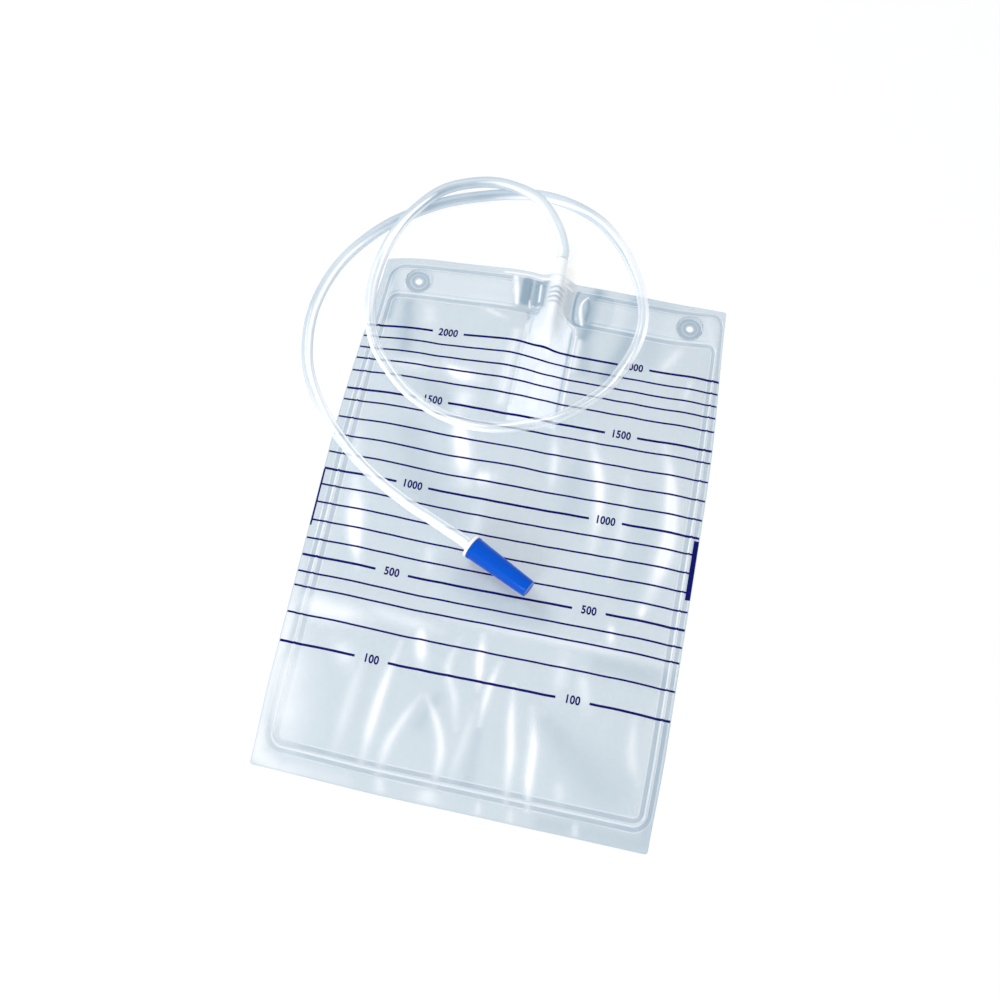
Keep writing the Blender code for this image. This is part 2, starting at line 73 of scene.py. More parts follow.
FILM_LOW, FILM_HIGH = node_box("back_film")
INLET_LOW, INLET_HIGH = node_box("inlet_connector")
VALVE_LOW, VALVE_HIGH = node_box("valve_back_film")
VALVE_FRONT_LOW, VALVE_FRONT_HIGH = node_box("valve_front_film")

# Films
HALF_WIDTH = (FILM_HIGH[0] - FILM_LOW[0]) / 2
HALF_HEIGHT = (FILM_HIGH[1] - FILM_LOW[1]) / 2
BACK_TOP = FILM_HIGH[2]
CLEARANCE = 0.3
FILM_THICKNESS = 0.3
WELD_TOP = BACK_TOP + CLEARANCE + FILM_THICKNESS
FILM_CORNER = 1.5
CORNER_DRAW = 6.5
HEADER_NARROWS = 5.4
FOOT_NARROWS = 1.4

# Weld pattern
MARGIN_LEFT, MARGIN_RIGHT, MARGIN_BOTTOM, MARGIN_TOP = 4.5, 1.0, 8.7, 4.0
BAND = 2.8
RIB_WIDTH = 1.4
RIB_HEIGHT = 0.7
WELD_CORNER = 10.0
HEADER_POCKET = 17.0
HEADER_TOP = HALF_HEIGHT - MARGIN_TOP - BAND
HEADER_BOTTOM = HEADER_TOP - HEADER_POCKET
POCKET_ENDS = (-13.0, 20.8)
SMALL_POCKETS = (-8.0, 16.3)
SMALL_POCKET_WIDTH = 6.4
EYELET_X = HALF_WIDTH - 24.5
EYELET_Y = (HEADER_TOP + HEADER_BOTTOM) / 2
EYELET_DISC = 7.4
EYELET_RING = 3.4
EYELET_HOLE = 1.9

# Painted highlight and shade rings round each eyelet, by its rim and ring: radius, width and strength
EYELET_HIGHLIGHTS = ((6.8, 0.35, 0.55), (4.4, 0.35, 0.35), (2.0, 0.5, 0.35))
EYELET_SHADES = ((7.6, 0.5, 1.0), (5.6, 0.6, 0.8), (3.2, 0.6, 0.7))

# Each box is left, right, bottom, top and corner radius
WELD_BOX = (
    -HALF_WIDTH + MARGIN_LEFT,
    HALF_WIDTH - MARGIN_RIGHT,
    -HALF_HEIGHT + MARGIN_BOTTOM,
    HALF_HEIGHT - MARGIN_TOP,
    WELD_CORNER,
)
LINE = BAND + RIB_WIDTH
POUCH_BOX = (
    WELD_BOX[0] + LINE,
    WELD_BOX[1] - LINE,
    WELD_BOX[2] + LINE,
    HEADER_BOTTOM,
    WELD_CORNER - LINE,
)

# Connector and valve
CONNECTOR_Z = (INLET_LOW[2] + INLET_HIGH[2]) / 2
INLET_RADIUS = (INLET_HIGH[2] - INLET_LOW[2]) / 2
SPIGOT_END = INLET_LOW[1]
SOCKET_TOP = INLET_HIGH[1]
VALVE_SHOULDER = VALVE_HIGH[1] - 11.0
VALVE_CENTRE = (VALVE_LOW[0] + VALVE_HIGH[0]) / 2
VALVE_NECK = 9.0
VALVE_TINT = (0.93, 0.955, 0.975)
TENT_FOOT = 10.5

# Places where the film and its print are pulled along the bag: amount, then the place and both reaches
# across the bag and along it
PULLS = (
    (-1.1, (0.0, 95.0, 85.0), (12.0, 80.0, 110.0)),
    (-0.7, (-38.0, 40.0, 26.0), (32.0, 40.0, 30.0)),
    (0.7, (-4.0, 26.0, 26.0), (35.0, 20.0, 20.0)),
)

# Steps of the film's grid, where it has fine lines and elsewhere
FINE_GRID = (0.45, 1.45)
BACK_GRID = (1.1, 3.0)

# Folds of the front film, each with a painted sheen streak: strength, height, and points of x, y and half
# width
FOLD_TAPER = 0.6
FOLDS_AND_SHEEN = (
    (1.00, 0.5, ((-38, 60, 4.0), (-32, 42, 5.0), (-26, 22, 5.5))),
    (0.80, 0.2, ((-22, 24, 4.5), (-12, 26, 4.5))),
    (0.30, 0.2, ((-16, 10, 3.5), (-14, -14, 3.0))),
    (1.00, 0.3, ((-50, 87, 2.5), (-42, 82, 4.5), (-31, 81, 5.0))),
    (0.40, 0.2, ((-82, 82, 4.0), (-56, 84, 4.0))),
    (0.60, 0.2, ((-36, 74, 6.0), (-36, 62, 6.0))),
    (0.50, 0.2, ((-17, 112, 3.0), (-18, 66, 3.5))),
    (0.70, 0.0, ((1, 94, 6.0), (0, 70, 7.5))),
    (0.80, 0.0, ((0.8, 153, 4.8), (0.8, 126, 4.8), (0.8, 110, 7.0))),
    (0.60, 0.3, ((15, 58, 2.5), (18, 42, 3.0), (19, 25, 3.0))),
    (0.85, 0.4, ((35, 60, 2.5), (41, 42, 3.5), (45, 25, 3.5), (46, -6, 3.0))),
    (0.45, 0.2, ((57, 40, 3.0), (59, 10, 3.5), (58, -18, 3.0))),
    (1.00, 0.6, ((74, 62, 3.0), (80, 42, 4.0), (84, 15, 5.0), (82, -8, 5.0), (78, -28, 3.5))),
    (0.80, 0.3, ((77, -28, 3.0), (76, -37, 2.5))),
    (0.50, 0.2, ((83, 106, 2.0), (80, 88, 2.5))),
    (0.50, 0.3, ((64, 104, 3.5), (74, 126, 4.0))),
    (0.35, 0.2, ((-67, 124, 4.0), (-63, 108, 5.0))),
    (0.60, 0.1, ((-38, 125.5, 1.6), (-23, 119.5, 2.0))),
    (1.00, 0.5, ((-82, 10, 4.0), (-78, -10, 5.0), (-75, -24, 4.0), (-70, -38, 2.5))),
    (0.30, 0.2, ((-88, 44, 4.0), (-84, 16, 4.0))),
    (0.45, 0.3, ((-37, -18, 3.0), (-34, -34, 3.0))),
    (0.85, 0.3, ((62, -42, 2.0), (64, -54, 2.8))),
    (0.45, 0.3, ((-20, -57, 2.5), (40, -57, 2.5), (96, -57.5, 3.0))),
    (0.72, 0.4, ((-98, -62, 9.0), (-78, -66, 8.0), (-58, -64, 6.0))),
    (0.50, 0.2, ((-64, -60, 5.0), (-40, -62, 4.5), (-22, -64, 3.5))),
    (0.55, 0.2, ((-72, -80, 6.0), (-62, -92, 6.0))),
    (0.62, 0.3, ((-96, -78, 13.0), (-92, -112, 14.0), (-84, -140, 12.0))),
    (0.64, 0.1, ((-99, -40, 3.0), (-98, -80, 5.0), (-97, -146, 7.0), (-52, -149, 6.0))),
    (1.00, 0.5, ((-32, -62, 3.0), (-27, -84, 3.5))),
    (0.85, 0.5, ((-40, -74, 1.6), (-43, -96, 2.6), (-45, -118, 3.0), (-46, -139, 2.2))),
    (0.45, 0.3, ((-56, -84, 2.4), (-58, -108, 3.4), (-60, -136, 3.2))),
    (0.65, 0.5, ((-24, -98, 1.6), (-30, -112, 2.4), (-35, -126, 2.8), (-37, -142, 2.2))),
    (0.60, 0.4, ((-11, -66, 1.8), (-14, -82, 2.4), (-8, -96, 2.8), (-4, -112, 2.4))),
    (0.75, 0.5, ((-22, -98, 1.5), (-14, -110, 2.4), (-9, -124, 3.0), (-9, -143, 2.4))),
    (0.35, 0.2, ((4, -98, 2.4), (1, -118, 2.8), (-2, -138, 2.4))),
    (1.00, 0.4, ((0, -62, 2.2), (1, -76, 2.7), (3, -90, 1.9))),
    (0.75, 0.4, ((11, -74, 1.8), (8, -90, 2.4), (7, -108, 1.6))),
    (0.85, 0.6, ((20, -84, 1.6), (22, -102, 2.7), (25, -120, 2.9), (27, -142, 1.8))),
    (0.90, 0.6, ((31, -94, 1.6), (35, -112, 2.9), (36, -128, 2.7), (38, -143, 1.8))),
    (0.40, 0.3, ((42, -64, 4.1), (42, -84, 4.1))),
    (0.50, 0.3, ((52, -70, 3.5), (58, -90, 4.1))),
    (0.35, 0.2, ((50, -126, 3.4), (53, -138, 3.4))),
    (0.50, 0.3, ((82, -86, 2.2), (83, -106, 3.2), (88, -120, 2.4))),
    (0.50, 0.1, ((-36, -142, 2.5), (-33, -152, 3.5))),
    (0.58, 0.1, ((-11, -143, 5.5), (-11, -152, 7.5))),
    (0.45, 0.1, ((14, -144, 1.6), (15, -152, 2.4))),
    (0.42, 0.1, ((30, -144, 1.8), (31, -152, 2.6))),
    (0.40, 0.1, ((62, -144, 1.6), (63, -152, 2.2))),
    (0.95, 0.0, ((-22.8, 147, 1.6), (-20.8, 138, 1.8), (-19.4, 130.5, 1.2))),
    (0.85, 0.0, ((-30, 149.4, 0.6), (-13, 149.6, 0.8), (-3, 148.6, 1.0), (9, 146.5, 1.0))),
    (0.90, 0.0, ((-8.2, 145, 0.6), (-7.6, 134, 0.6))),
    (0.85, 0.0, ((-12.9, 134, 0.4), (-12.0, 129.8, 0.8))),
    (0.90, 0.0, ((18.3, 145, 0.5), (15.6, 140, 0.8), (15.8, 134, 1.2), (17.6, 127.5, 0.9))),
    (0.35, 0.0, ((86, 142, 5.0), (90, 132, 5.0))),
    (0.85, 0.0, ((16.0, 119, 0.6), (16.2, 72, 0.7))),
    (0.60, 0.0, ((18.2, 116, 1.8), (18.0, 98, 1.8))),
    (0.80, 0.0, ((-11.6, 118, 0.6), (-11.6, 66, 0.7))),
    (0.55, 0.0, ((-16.0, 112, 3.0), (-16.5, 70, 3.0))),
    (0.70, 0.0, ((4.5, 130, 0.7), (9, 127.5, 0.7), (14.5, 124, 0.7), (15.8, 118, 0.7))),
)

# Painted shade: darker patches where the film reflects the dark side of the room, and a painted shadow below
# the cap: strength and points as above
SHADES = (
    (1.00, ((24, 149, 4.0), (23, 134, 6.0), (20, 118, 3.5))),
    (0.55, ((22, 118, 4.0), (24, 98, 4.0))),
    (0.75, ((-92, 141, 3.5), (-88, 128, 3.0), (-88, 112, 3.0))),
    (0.70, ((-78, 122, 4.0), (-76, 106, 6.0), (-74, 94, 5.0))),
    (0.70, ((46, 150, 6.0), (44, 120, 5.0), (36, 96, 5.0))),
    (0.30, ((58, 146, 7.0), (56, 112, 6.0))),
    (0.40, ((-56, 72, 6.0), (-46, 66, 5.0))),
    (0.35, ((-60, 44, 9.0), (-50, 18, 11.0), (-30, 0, 9.0))),
    # Painted shadow below the cap
    (0.45, ((-16, -36, 7.0), (4, -44, 9.0), (26, -46, 7.0))),
    (0.30, ((30, 40, 5.0), (31, 15, 7.0))),
    (0.15, ((68, 34, 5.0), (70, 0, 7.0), (66, -25, 6.0))),
    (0.35, ((40, -100, 5.0), (58, -116, 11.0), (74, -128, 13.0))),
    (0.40, ((60, -64, 6.0), (94, -66, 6.0))),
    (0.35, ((-16, -98, 3.0), (-22, -114, 4.0))),
    (0.35, ((7, -112, 3.0), (7, -136, 4.0))),
    (0.40, ((46, -148, 5.0), (96, -148, 7.0))),
    (0.50, ((97, -148, 4.0), (97, -90, 4.0))),
)

# Thin dark lines over the connector and the valve, along the valve's seams and as painted shade by the
# connector's ribs and the pockets' edges: strength and points as above
DARK_LINES = (
    (1.00, ((12.9, 147.5, 0.5), (11.9, 143, 0.6), (11.9, 134, 0.6), (13.2, 127.5, 0.6), (17, 126, 0.6))),
    (0.55, ((19.0, 143, 0.7), (20.2, 138, 0.9), (19.4, 130, 0.8))),
    (0.85, ((13.3, 121, 0.5), (13.6, 116, 0.9), (13.7, 68, 0.8))),
    (0.50, ((-12.4, 127, 0.6), (-11.0, 121, 0.6))),
    (0.35, ((-11.0, 112, 0.7), (-11.2, 70, 0.7))),
    (0.85, ((-2.6, 143.0, 0.6), (1.2, 144.0, 0.7), (4.8, 142.8, 0.6))),
    (0.85, ((-2.6, 139.8, 0.6), (1.2, 140.8, 0.7), (4.8, 139.6, 0.6))),
    (0.85, ((-2.6, 136.8, 0.6), (1.2, 137.8, 0.7), (4.8, 136.6, 0.6))),
    (0.70, ((-2.6, 133.8, 0.6), (1.2, 134.6, 0.7), (4.8, 133.6, 0.6))),
    (0.55, ((-9.0, 112, 0.5), (-9.0, 122, 0.5), (-6.2, 128, 0.5))),
)

# Patches of the header by the connector, with painted shade and painted sheen: left, right, bottom, top,
# corner radius, shade, haze
PANELS = (
    (-18.6, -12.8, 130.0, 148.4, 2.8, 1.0, 0.0),
    (-11.4, -4.6, 131.0, 147.6, 1.2, 0.9, 0.0),
    (12.0, 20.6, 127.0, 146.5, 4.2, 0.15, 0.15),
    (21.0, 34.0, 127.5, 148.0, 5.0, 0.60, 0.0),
    (5.8, 11.4, 129.0, 148.0, 1.0, 0.0, 0.35),
)

# Print: the places of the scale's lines on the flat film, and the numerals of the thick ones
PRINT_LINES = (105.6, 98.1, 90.65, 83.5, 75.3, 63.8, 56.55, 45.5, 34.5, 23.4)
PRINT_LINES += (13.1, 3.5, -7.0, -17.7, -28.3, -38.05, -47.45, -55.65, -70.6, -86.3)
NUMERALS = {105.6: "2000", 63.8: "1500", 13.1: "1000", -38.05: "500", -86.3: "100"}
LINE_ENDS = (-HALF_WIDTH + 0.5, HALF_WIDTH - 0.4)
LINE_GAPS = ((-61.0, -44.0), (41.2, 58.5))
LINE_STEP = 0.4
INK_LIFT = 0.10
NUMERAL_CENTRES = (-52.5, 49.8)
NUMERAL_SHARE = 0.81
NUMERAL_WEIGHT = 0.2
NUMERAL_WIDTH = 0.80
NUMERAL_CUT = 0.9

# Bars at the film's edges: centre, width, lower end and upper end
SIDE_BARS = ((-99.3, 0.9, -21.0, 12.5), (98.5, 2.6, -21.8, 11.4))

# The tube's route, as in the CAD source: from the inlet's socket to the capped end
TUBE_ROUTE = (
    (-5, 181.5, 6.8), (-14.7, 192.9, 9.6), (-24.5, 199.3, 9.9), (-42.5, 202.5, 9.7),
    (-59, 199.3, 9.1), (-74.5, 190, 9.3), (-87.2, 172, 9.8), (-93.5, 158, 8.8),
    (-97.2, 145, 6.6), (-98.8, 131, 5.5), (-98.2, 117.5, 5.2), (-95.8, 105, 5.4),
    (-91.7, 93.5, 5.8), (-84.5, 81.5, 6.2), (-66.4, 64, 6.9), (-45.6, 54, 7.2),
    (-24.3, 51.5, 7.3), (-3.8, 55.5, 8.2), (16.3, 65.5, 8.3), (35, 84.5, 8.1),
    (43.2, 99.5, 8.1), (48.8, 116, 7.8), (50.4, 133.5, 6.8), (47, 150, 5.6),
    (40.4, 166, 4.1), (30.5, 181.2, 3.2), (15, 195.3, 3.15), (-7.4, 203, 3.15),
    (-31, 202.2, 3.15), (-63, 191.5, 3.15), (-83.8, 179, 3.15), (-103.7, 161, 3.15),
    (-119.9, 135, 3.15), (-127, 105, 3.15), (-123.7, 75, 3.25), (-112.5, 51, 3.7),
    (-94, 29, 5.4), (-74, 12.2, 6.6), (-51.7, -0.8, 7.8), (-39, -6.8, 9.1),
    (-28.5, -11.9, 10),
)
TUBE_STEPS = 420
TUBE_SIDES = 52
# Colour of the tube's painted highlights, and how much they glow as painted light
TUBE_SHEEN = (0.97, 0.985, 1.0, 1.0)
TUBE_PAINTED_GLOW = 0.28

# The tube's look, its darkness, bands, streak and groove being painted reflections and refraction: place
# along it in millimetres, darkness, cover, left band, streak's place, half width and strength, groove's
# place and strength, right band. Places run from -1 to 1 across the tube as the photo's camera sees it
TUBE_STREAKS = (
    (0, 0.05, 0.85, 0.0, 0.6, 0.25, 0.5, 0.0, 0.1, 0.0),
    (20, 0.15, 0.85, 0.1, 0.55, 0.3, 0.9, 0.0, 0.3, 0.3),
    (40, 0.3, 0.85, 0.1, 0.45, 0.5, 1.0, 0.0, 0.0, 0.1),
    (60, 0.45, 0.85, 0.1, -0.1, 0.18, 0.9, 0.3, 0.0, 0.0),
    (80, 0.75, 0.9, 0.2, -0.1, 0.18, 0.0, 0.1, 0.3, 0.1),
    (102, 0.8, 0.9, 0.25, -0.15, 0.18, 0.0, 0.15, 0.35, 0.2),
    (120, 0.5, 0.85, 0.1, -0.15, 0.2, 1.0, 0.25, 0.3, 0.5),
    (140, 0.3, 0.8, 0.0, -0.1, 0.45, 0.95, 0.4, 0.2, 0.8),
    (160, 0.2, 0.75, 0.3, 0.3, 0.2, 0.9, -0.1, 0.2, 0.2),
    (182, 0.2, 0.65, 0.1, 0.3, 0.3, 0.4, 0.0, 0.1, 0.2),
    (202, 0.15, 0.40, 0.8, 0.3, 0.2, 0.3, 0.0, 0.2, 0.7),
    (222, 0.15, 0.40, 1.0, 0.42, 0.2, 1.0, 0.1, 0.6, 0.5),
    (252, 0.1, 0.45, 1.0, 0.2, 0.25, 0.9, 0.0, 0.4, 0.3),
    (282, 0.15, 0.40, 1.0, -0.1, 0.3, 0.8, 0.42, 0.7, 0.8),
    (312, 0.15, 0.30, 0.4, 0.5, 0.28, 0.95, -0.4, 0.3, 0.3),
    (342, 0.2, 0.30, 0.5, -0.1, 0.15, 0.6, 0.1, 0.4, 0.6),
    (372, 0.15, 0.40, 0.5, -0.2, 0.28, 1.0, 0.3, 0.5, 0.5),
    (402, 0.1, 0.45, 1.0, 0.2, 0.2, 0.9, 0.0, 0.4, 0.7),
    (432, 0.15, 0.60, 0.5, 0.0, 0.3, 0.3, 0.2, 0.3, 0.4),
    (460, 0.25, 0.75, 0.6, -0.1, 0.22, 1.0, 0.4, 0.5, 0.2),
    (490, 0.45, 0.85, 0.1, 0.05, 0.24, 1.0, 0.4, 0.1, 0.1),
    (520, 0.35, 0.85, 0.0, 0.65, 0.4, 0.9, 0.0, 0.0, 0.4),
    (550, 0.85, 0.9, 0.15, 0.6, 0.2, 0.1, -0.05, 0.5, 0.2),
    (585, 0.85, 0.9, 0.15, 0.6, 0.2, 0.1, -0.05, 0.5, 0.2),
    (612, 0.6, 0.85, 0.1, 0.3, 0.2, 0.2, -0.05, 0.3, 0.1),
    (640, 0.4, 0.85, 0.1, 0.1, 0.22, 1.0, 0.4, 0.0, 0.1),
    (670, 0.42, 0.8, 0.0, 0.25, 0.34, 0.95, 0.0, 0.0, 0.1),
    (702, 0.36, 0.75, 0.0, 0.25, 0.34, 0.85, 0.0, 0.0, 0.1),
    (732, 0.28, 0.65, 0.1, 0.15, 0.28, 0.95, -0.2, 0.5, 0.5),
    (762, 0.1, 0.55, 0.5, -0.1, 0.36, 1.0, 0.36, 0.8, 0.9),
    (792, 0.1, 0.55, 0.6, -0.1, 0.42, 1.0, 0.42, 0.6, 1.0),
    (822, 0.1, 0.55, 0.9, -0.1, 0.5, 0.9, 0.36, 0.5, 0.6),
)

# Cap and catheter connector, turned about the cap's axis
CAP_MOUTH = (-14.2, -19.0, 10.4)
CAP_HEADING = -27.0
CAP_LENGTH = 36.0
CAP_MOUTH_RADIUS = 6.2
CAP_END_RADIUS = 4.6
CAP_WALL = 1.0
FLANGE_RADIUS = 6.3
FLANGE_LENGTH = 1.6

# Stage, in metres. Each lamp has a name, its power's setting, its place and its size
FLOOR_HALF = 3.0
FLOOR_DROP = 0.0002
FLOOR_GLOW = 0.65
SKY_TINT = (0.97, 0.985, 1.0, 1.0)
REFLECTED_SKY = 0.25
LAMPS = (
    ("key lamp", "key", (-0.72, 0.45, 0.85), (0.32, 0.40)),
    ("right lamp", "side", (0.80, 0.30, 0.90), (0.32, 0.32)),
    ("low window", "fill", (-0.36, -1.04, 0.45), (0.50, 0.50)),
)
CAMERA_PLACE = (0.02549, -0.36201, 0.83394)
CAMERA_RIGHT = (0.9807588, 0.1891662, 0.0482522)
CAMERA_BACK = (0.0345658, -0.4115223, 0.9107440)

# Nodes: plain colours, sockets of a colour mix, kinds of the shader's sockets, and the span of a stored
# distance
WHITE = (1.0, 1.0, 1.0, 1.0)
BLACK = (0.0, 0.0, 0.0, 1.0)
MIX_A, MIX_B, MIX_RESULT = 6, 7, 2
SOCKET_KINDS = {"Base Color": "Color", "Emission Color": "Color", "Normal": "Vector"}
DISTANCE_RANGE = 6.0

# Settings
def tint(name, description, colour):
    return FloatVectorProperty(name=name, description=description, subtype="COLOR", default=colour)


def measure(name, description, default, unit="LENGTH"):
    return FloatProperty(name=name, description=description, unit=unit, default=default)


class FilmSettings(PropertyGroup):
    colour: tint("Colour", "Tint of the clear film", (0.445, 0.555, 0.635))
    weld_colour: tint("Weld colour", "Tint of the fused bands", (0.31, 0.42, 0.51))
    # The shade tint is for painted shade; the haze tint is for haze and painted sheen, and is the valve's own
    # colour
    shade_colour: tint("Shade colour", "Tint of the darker folds", (0.23, 0.35, 0.45))
    haze_colour: tint("Haze colour", "Colour of the pale folds", (0.95, 0.97, 1.0))
    opacity: FloatProperty(
        name="Opacity", description="How much the plain film covers", min=0, max=1, default=0.48
    )
    ridge: measure("Ridge", "Height of the ridge beside the valve", 0.006)


class PrintSettings(PropertyGroup):
    ink: tint("Ink", "Colour of the print", (0.002, 0.003, 0.100))
    thick: measure("Thick line", "Width of a numbered line", 0.00132)
    thin: measure("Thin line", "Width of a plain line", 0.00102)
    numeral: measure("Numeral", "Height of the numerals", 0.0050)


class TubeSettings(PropertyGroup):
    pale: tint("Pale", "Tint of the tube over the bag", (0.78, 0.86, 0.92))
    # The deep tint is for the tube's painted dark reflections
    deep: tint("Deep", "Tint of the tube in the loop", (0.36, 0.46, 0.55))
    diameter: measure("Diameter", "Outer diameter of the tube", 0.0062)
    bore: measure("Bore", "Inner diameter of the tube", 0.0042)


class MouldingSettings(PropertyGroup):
    plastic: tint("Plastic", "Colour of the connectors", (0.95, 0.97, 0.985))
    cap: tint("Cap", "Colour of the cap", (0.0004, 0.088, 0.62))
    sides: IntProperty(name="Sides", description="Facets round a turned piece", min=12, max=96, default=64)


class StageSettings(PropertyGroup):
    floor: tint("Floor", "Colour of the floor", (0.96, 0.96, 0.96))
    lens: measure("Lens", "Focal length in millimetres", 63.0, "NONE")
    key: measure("Key", "Power of the key lamp", 4.2, "POWER")
    side: measure("Side", "Power of the right lamp", 2.2, "POWER")
    fill: measure("Fill", "Power of the low window", 6.0, "POWER")
    sky: measure("Sky", "Strength of the world", 0.66, "NONE")


# Curves and masks
def smooth(t):
    """Rise from 0 to 1 with level ends."""
    t = np.clip(t, 0.0, 1.0)
    return t * t * (3 - 2 * t)


def hill(x, centre, left, right):
    """A cosine hill, 1 at its centre and 0 past its left and right reach."""
    u = np.where(x > centre, (x - centre) / right, (centre - x) / left)
    return 0.5 * (1 + np.cos(pi * np.clip(u, 0, 1)))


def bell(distance, width):
    """1 at no distance, fading out over a width."""
    return np.exp(-((distance / width) ** 2))


def box_distance(x, y, box):
    """Signed distance to a rounded box, negative inside it."""
    left, right, bottom, top, radius = box
    across = np.abs(x - (left + right) / 2) - (right - left) / 2 + radius
    along = np.abs(y - (bottom + top) / 2) - (top - bottom) / 2 + radius
    outside = np.hypot(np.maximum(across, 0), np.maximum(along, 0))
    return outside + np.minimum(np.maximum(across, along), 0) - radius


def rounded(points):
    """More points along a smooth curve through the given ones, with their half widths."""
    points = np.array(points, dtype=float)
    if len(points) < 3:
        return points
    padded = np.concatenate([[2 * points[0] - points[1]], points, [2 * points[-1] - points[-2]]])
    curve = [points[0]]
    for a, b, c, d in zip(padded, padded[1:], padded[2:], padded[3:]):
        for t in (0.34, 0.67, 1.0):
            bend = (2 * a - 5 * b + 4 * c - d) * t * t + (3 * b - a - 3 * c + d) * t**3
            curve.append(b + 0.5 * ((c - a) * t + bend))
    return np.array(curve)


def stroke(x, y, points, taper=0.0):
    """A soft brush stroke through points of x, y and half width: 1 on its line, fading outwards."""
    curve = rounded(points)
    total = len(curve) - 1
    level = np.zeros(np.shape(x))
    for i, ((ax, ay, aw), (bx, by, bw)) in enumerate(zip(curve, curve[1:])):
        dx, dy = bx - ax, by - ay
        near = np.hypot(x - (ax + bx) / 2, y - (ay + by) / 2) < hypot(dx, dy) / 2 + 2.6 * max(aw, bw)
        px, py = x[near] - ax, y[near] - ay
        t = np.clip((px * dx + py * dy) / (dx * dx + dy * dy), 0, 1)
        reach = np.hypot(px - t * dx, py - t * dy) / (aw + t * (bw - aw))
        along = (i + t) / total
        ends = 1 - taper * (1 - smooth(along / 0.35) * smooth((1 - along) / 0.35))
        level[near] = np.maximum(level[near], ends * np.exp(-1.1 * reach**2))
    return level


# Shape of the front film
def film_edges(x, y, outlined=False):
    """Signed distances to the weld's outer edge, the raised line with the pockets, and the pouch."""
    weld = -box_distance(x, y, WELD_BOX)
    pouch = -box_distance(x, y, POUCH_BOX)
    depth = np.minimum(weld - BAND, -pouch)
    if outlined:
        return weld, depth, pouch - BAND
    gap = np.maximum(POCKET_ENDS[0] - x, x - POCKET_ENDS[1])
    depth = np.where(y > 0, np.minimum(depth, gap), depth)
    half = SMALL_POCKET_WIDTH / 2
    for centre in SMALL_POCKETS:
        box = (centre - half, centre + half, HEADER_BOTTOM, HEADER_TOP, half - 0.2)
        depth = np.maximum(depth, -box_distance(x, y, box) * 0.6)
    return weld, depth, pouch - BAND


def beside_connector(x, y):
    """1 in the header by the connector, where the weld has no lines of its own."""
    return (1 - smooth((np.abs(x - 1.0) - 18.0) / 7.0)) * smooth((y - HEADER_BOTTOM + 4.0) / 2.0)


def eyelet_distance(x, y):
    return np.hypot(np.abs(x) - EYELET_X, y - EYELET_Y)


def tent(x):
    """Section of the film drawn tight over the connector: a round top and straight flanks."""
    radius = INLET_RADIUS + 0.45
    centre = CONNECTOR_Z - WELD_TOP + 0.3
    reach = hypot(TENT_FOOT, centre)
    angle = atan2(centre, -TENT_FOOT) - asin(radius / reach)
    run = sqrt(reach * reach - radius * radius)
    touch_x, touch_z = TENT_FOOT + run * cos(angle), run * sin(angle)
    crown = np.linspace(0, touch_x, 12)
    xs = np.append(crown, TENT_FOOT)
    zs = np.append(centre + np.sqrt(radius**2 - crown**2), 0.0)
    zs[-2] = touch_z
    return np.interp(np.abs(x), xs, zs)


def arch(x, y):
    """Both films rise a little along the header beside the connector."""
    return 2.6 * hill(x, -17.0, 48.0, 26.0) * smooth((y - 108.0) / 16.0)


def pillow(x, y):
    """The empty pouch's slack."""
    run = np.clip((-box_distance(x, y, POUCH_BOX) - BAND) / 28.0, 0, 1)
    return (1 - (1 - run) ** 2) * (1.7 + 1.4 * smooth((x + 60) / 120)), run


def front_height(x, y):
    """Height of the front film's upper side above the table."""
    weld, depth, pouch = film_edges(x, y)
    margin = 1 - smooth(weld / 0.35)
    slack, run = pillow(x, y)
    settings = bpy.context.scene.bag_film
    rising = np.clip((y - 54.0) / 50.0, 0, 1) ** 1.15 * (1 - 0.75 * smooth((y - 106.0) / 20.0))
    ridge = settings.ridge / MM * hill(x, -15.0, 42.0, 21.0) * rising
    over_valve = 1.2 * hill(x, VALVE_CENTRE, 21.0, 21.0) * smooth((y - VALVE_LOW[1] + 8) / 12)
    fade = smooth((y - 86.0) / 33.0)
    lift = np.hypot(tent(x) * fade, ridge + over_valve * run + slack + arch(x, y))
    puff = 0.5 * smooth((depth - 0.4) / 4.0)
    eyelet = eyelet_distance(x, y)
    pressed = smooth((EYELET_DISC - eyelet) / 0.6)
    ring = 0.3 * bell(eyelet - EYELET_RING, 0.7)
    raised = (RIB_HEIGHT * smooth(depth / 0.7) + puff) * (1 - pressed) + ring
    rim = 0.35 * bell(eyelet - EYELET_DISC, 0.5)
    folds = sum(height * stroke(x, y, points, FOLD_TAPER) for _, height, points in FOLDS_AND_SHEEN if height)
    ripple = 0.16 * np.sin(x / 4.1 + 1.7 * np.sin(y / 31.0)) * np.sin(y / 47.0 + 0.6 * np.sin(x / 19.0))
    ripple += 0.10 * np.sin(x / 2.3 + 2.1 * np.sin(y / 53.0 + 1.0)) * np.sin(y / 29.0 + 2.0)
    wave = 0.35 * margin * np.sin(x / 9.0 + 0.7) * np.sin(y / 13.0)
    return WELD_TOP + lift + raised + rim + folds * np.maximum(run, margin) + ripple * run + wave * margin


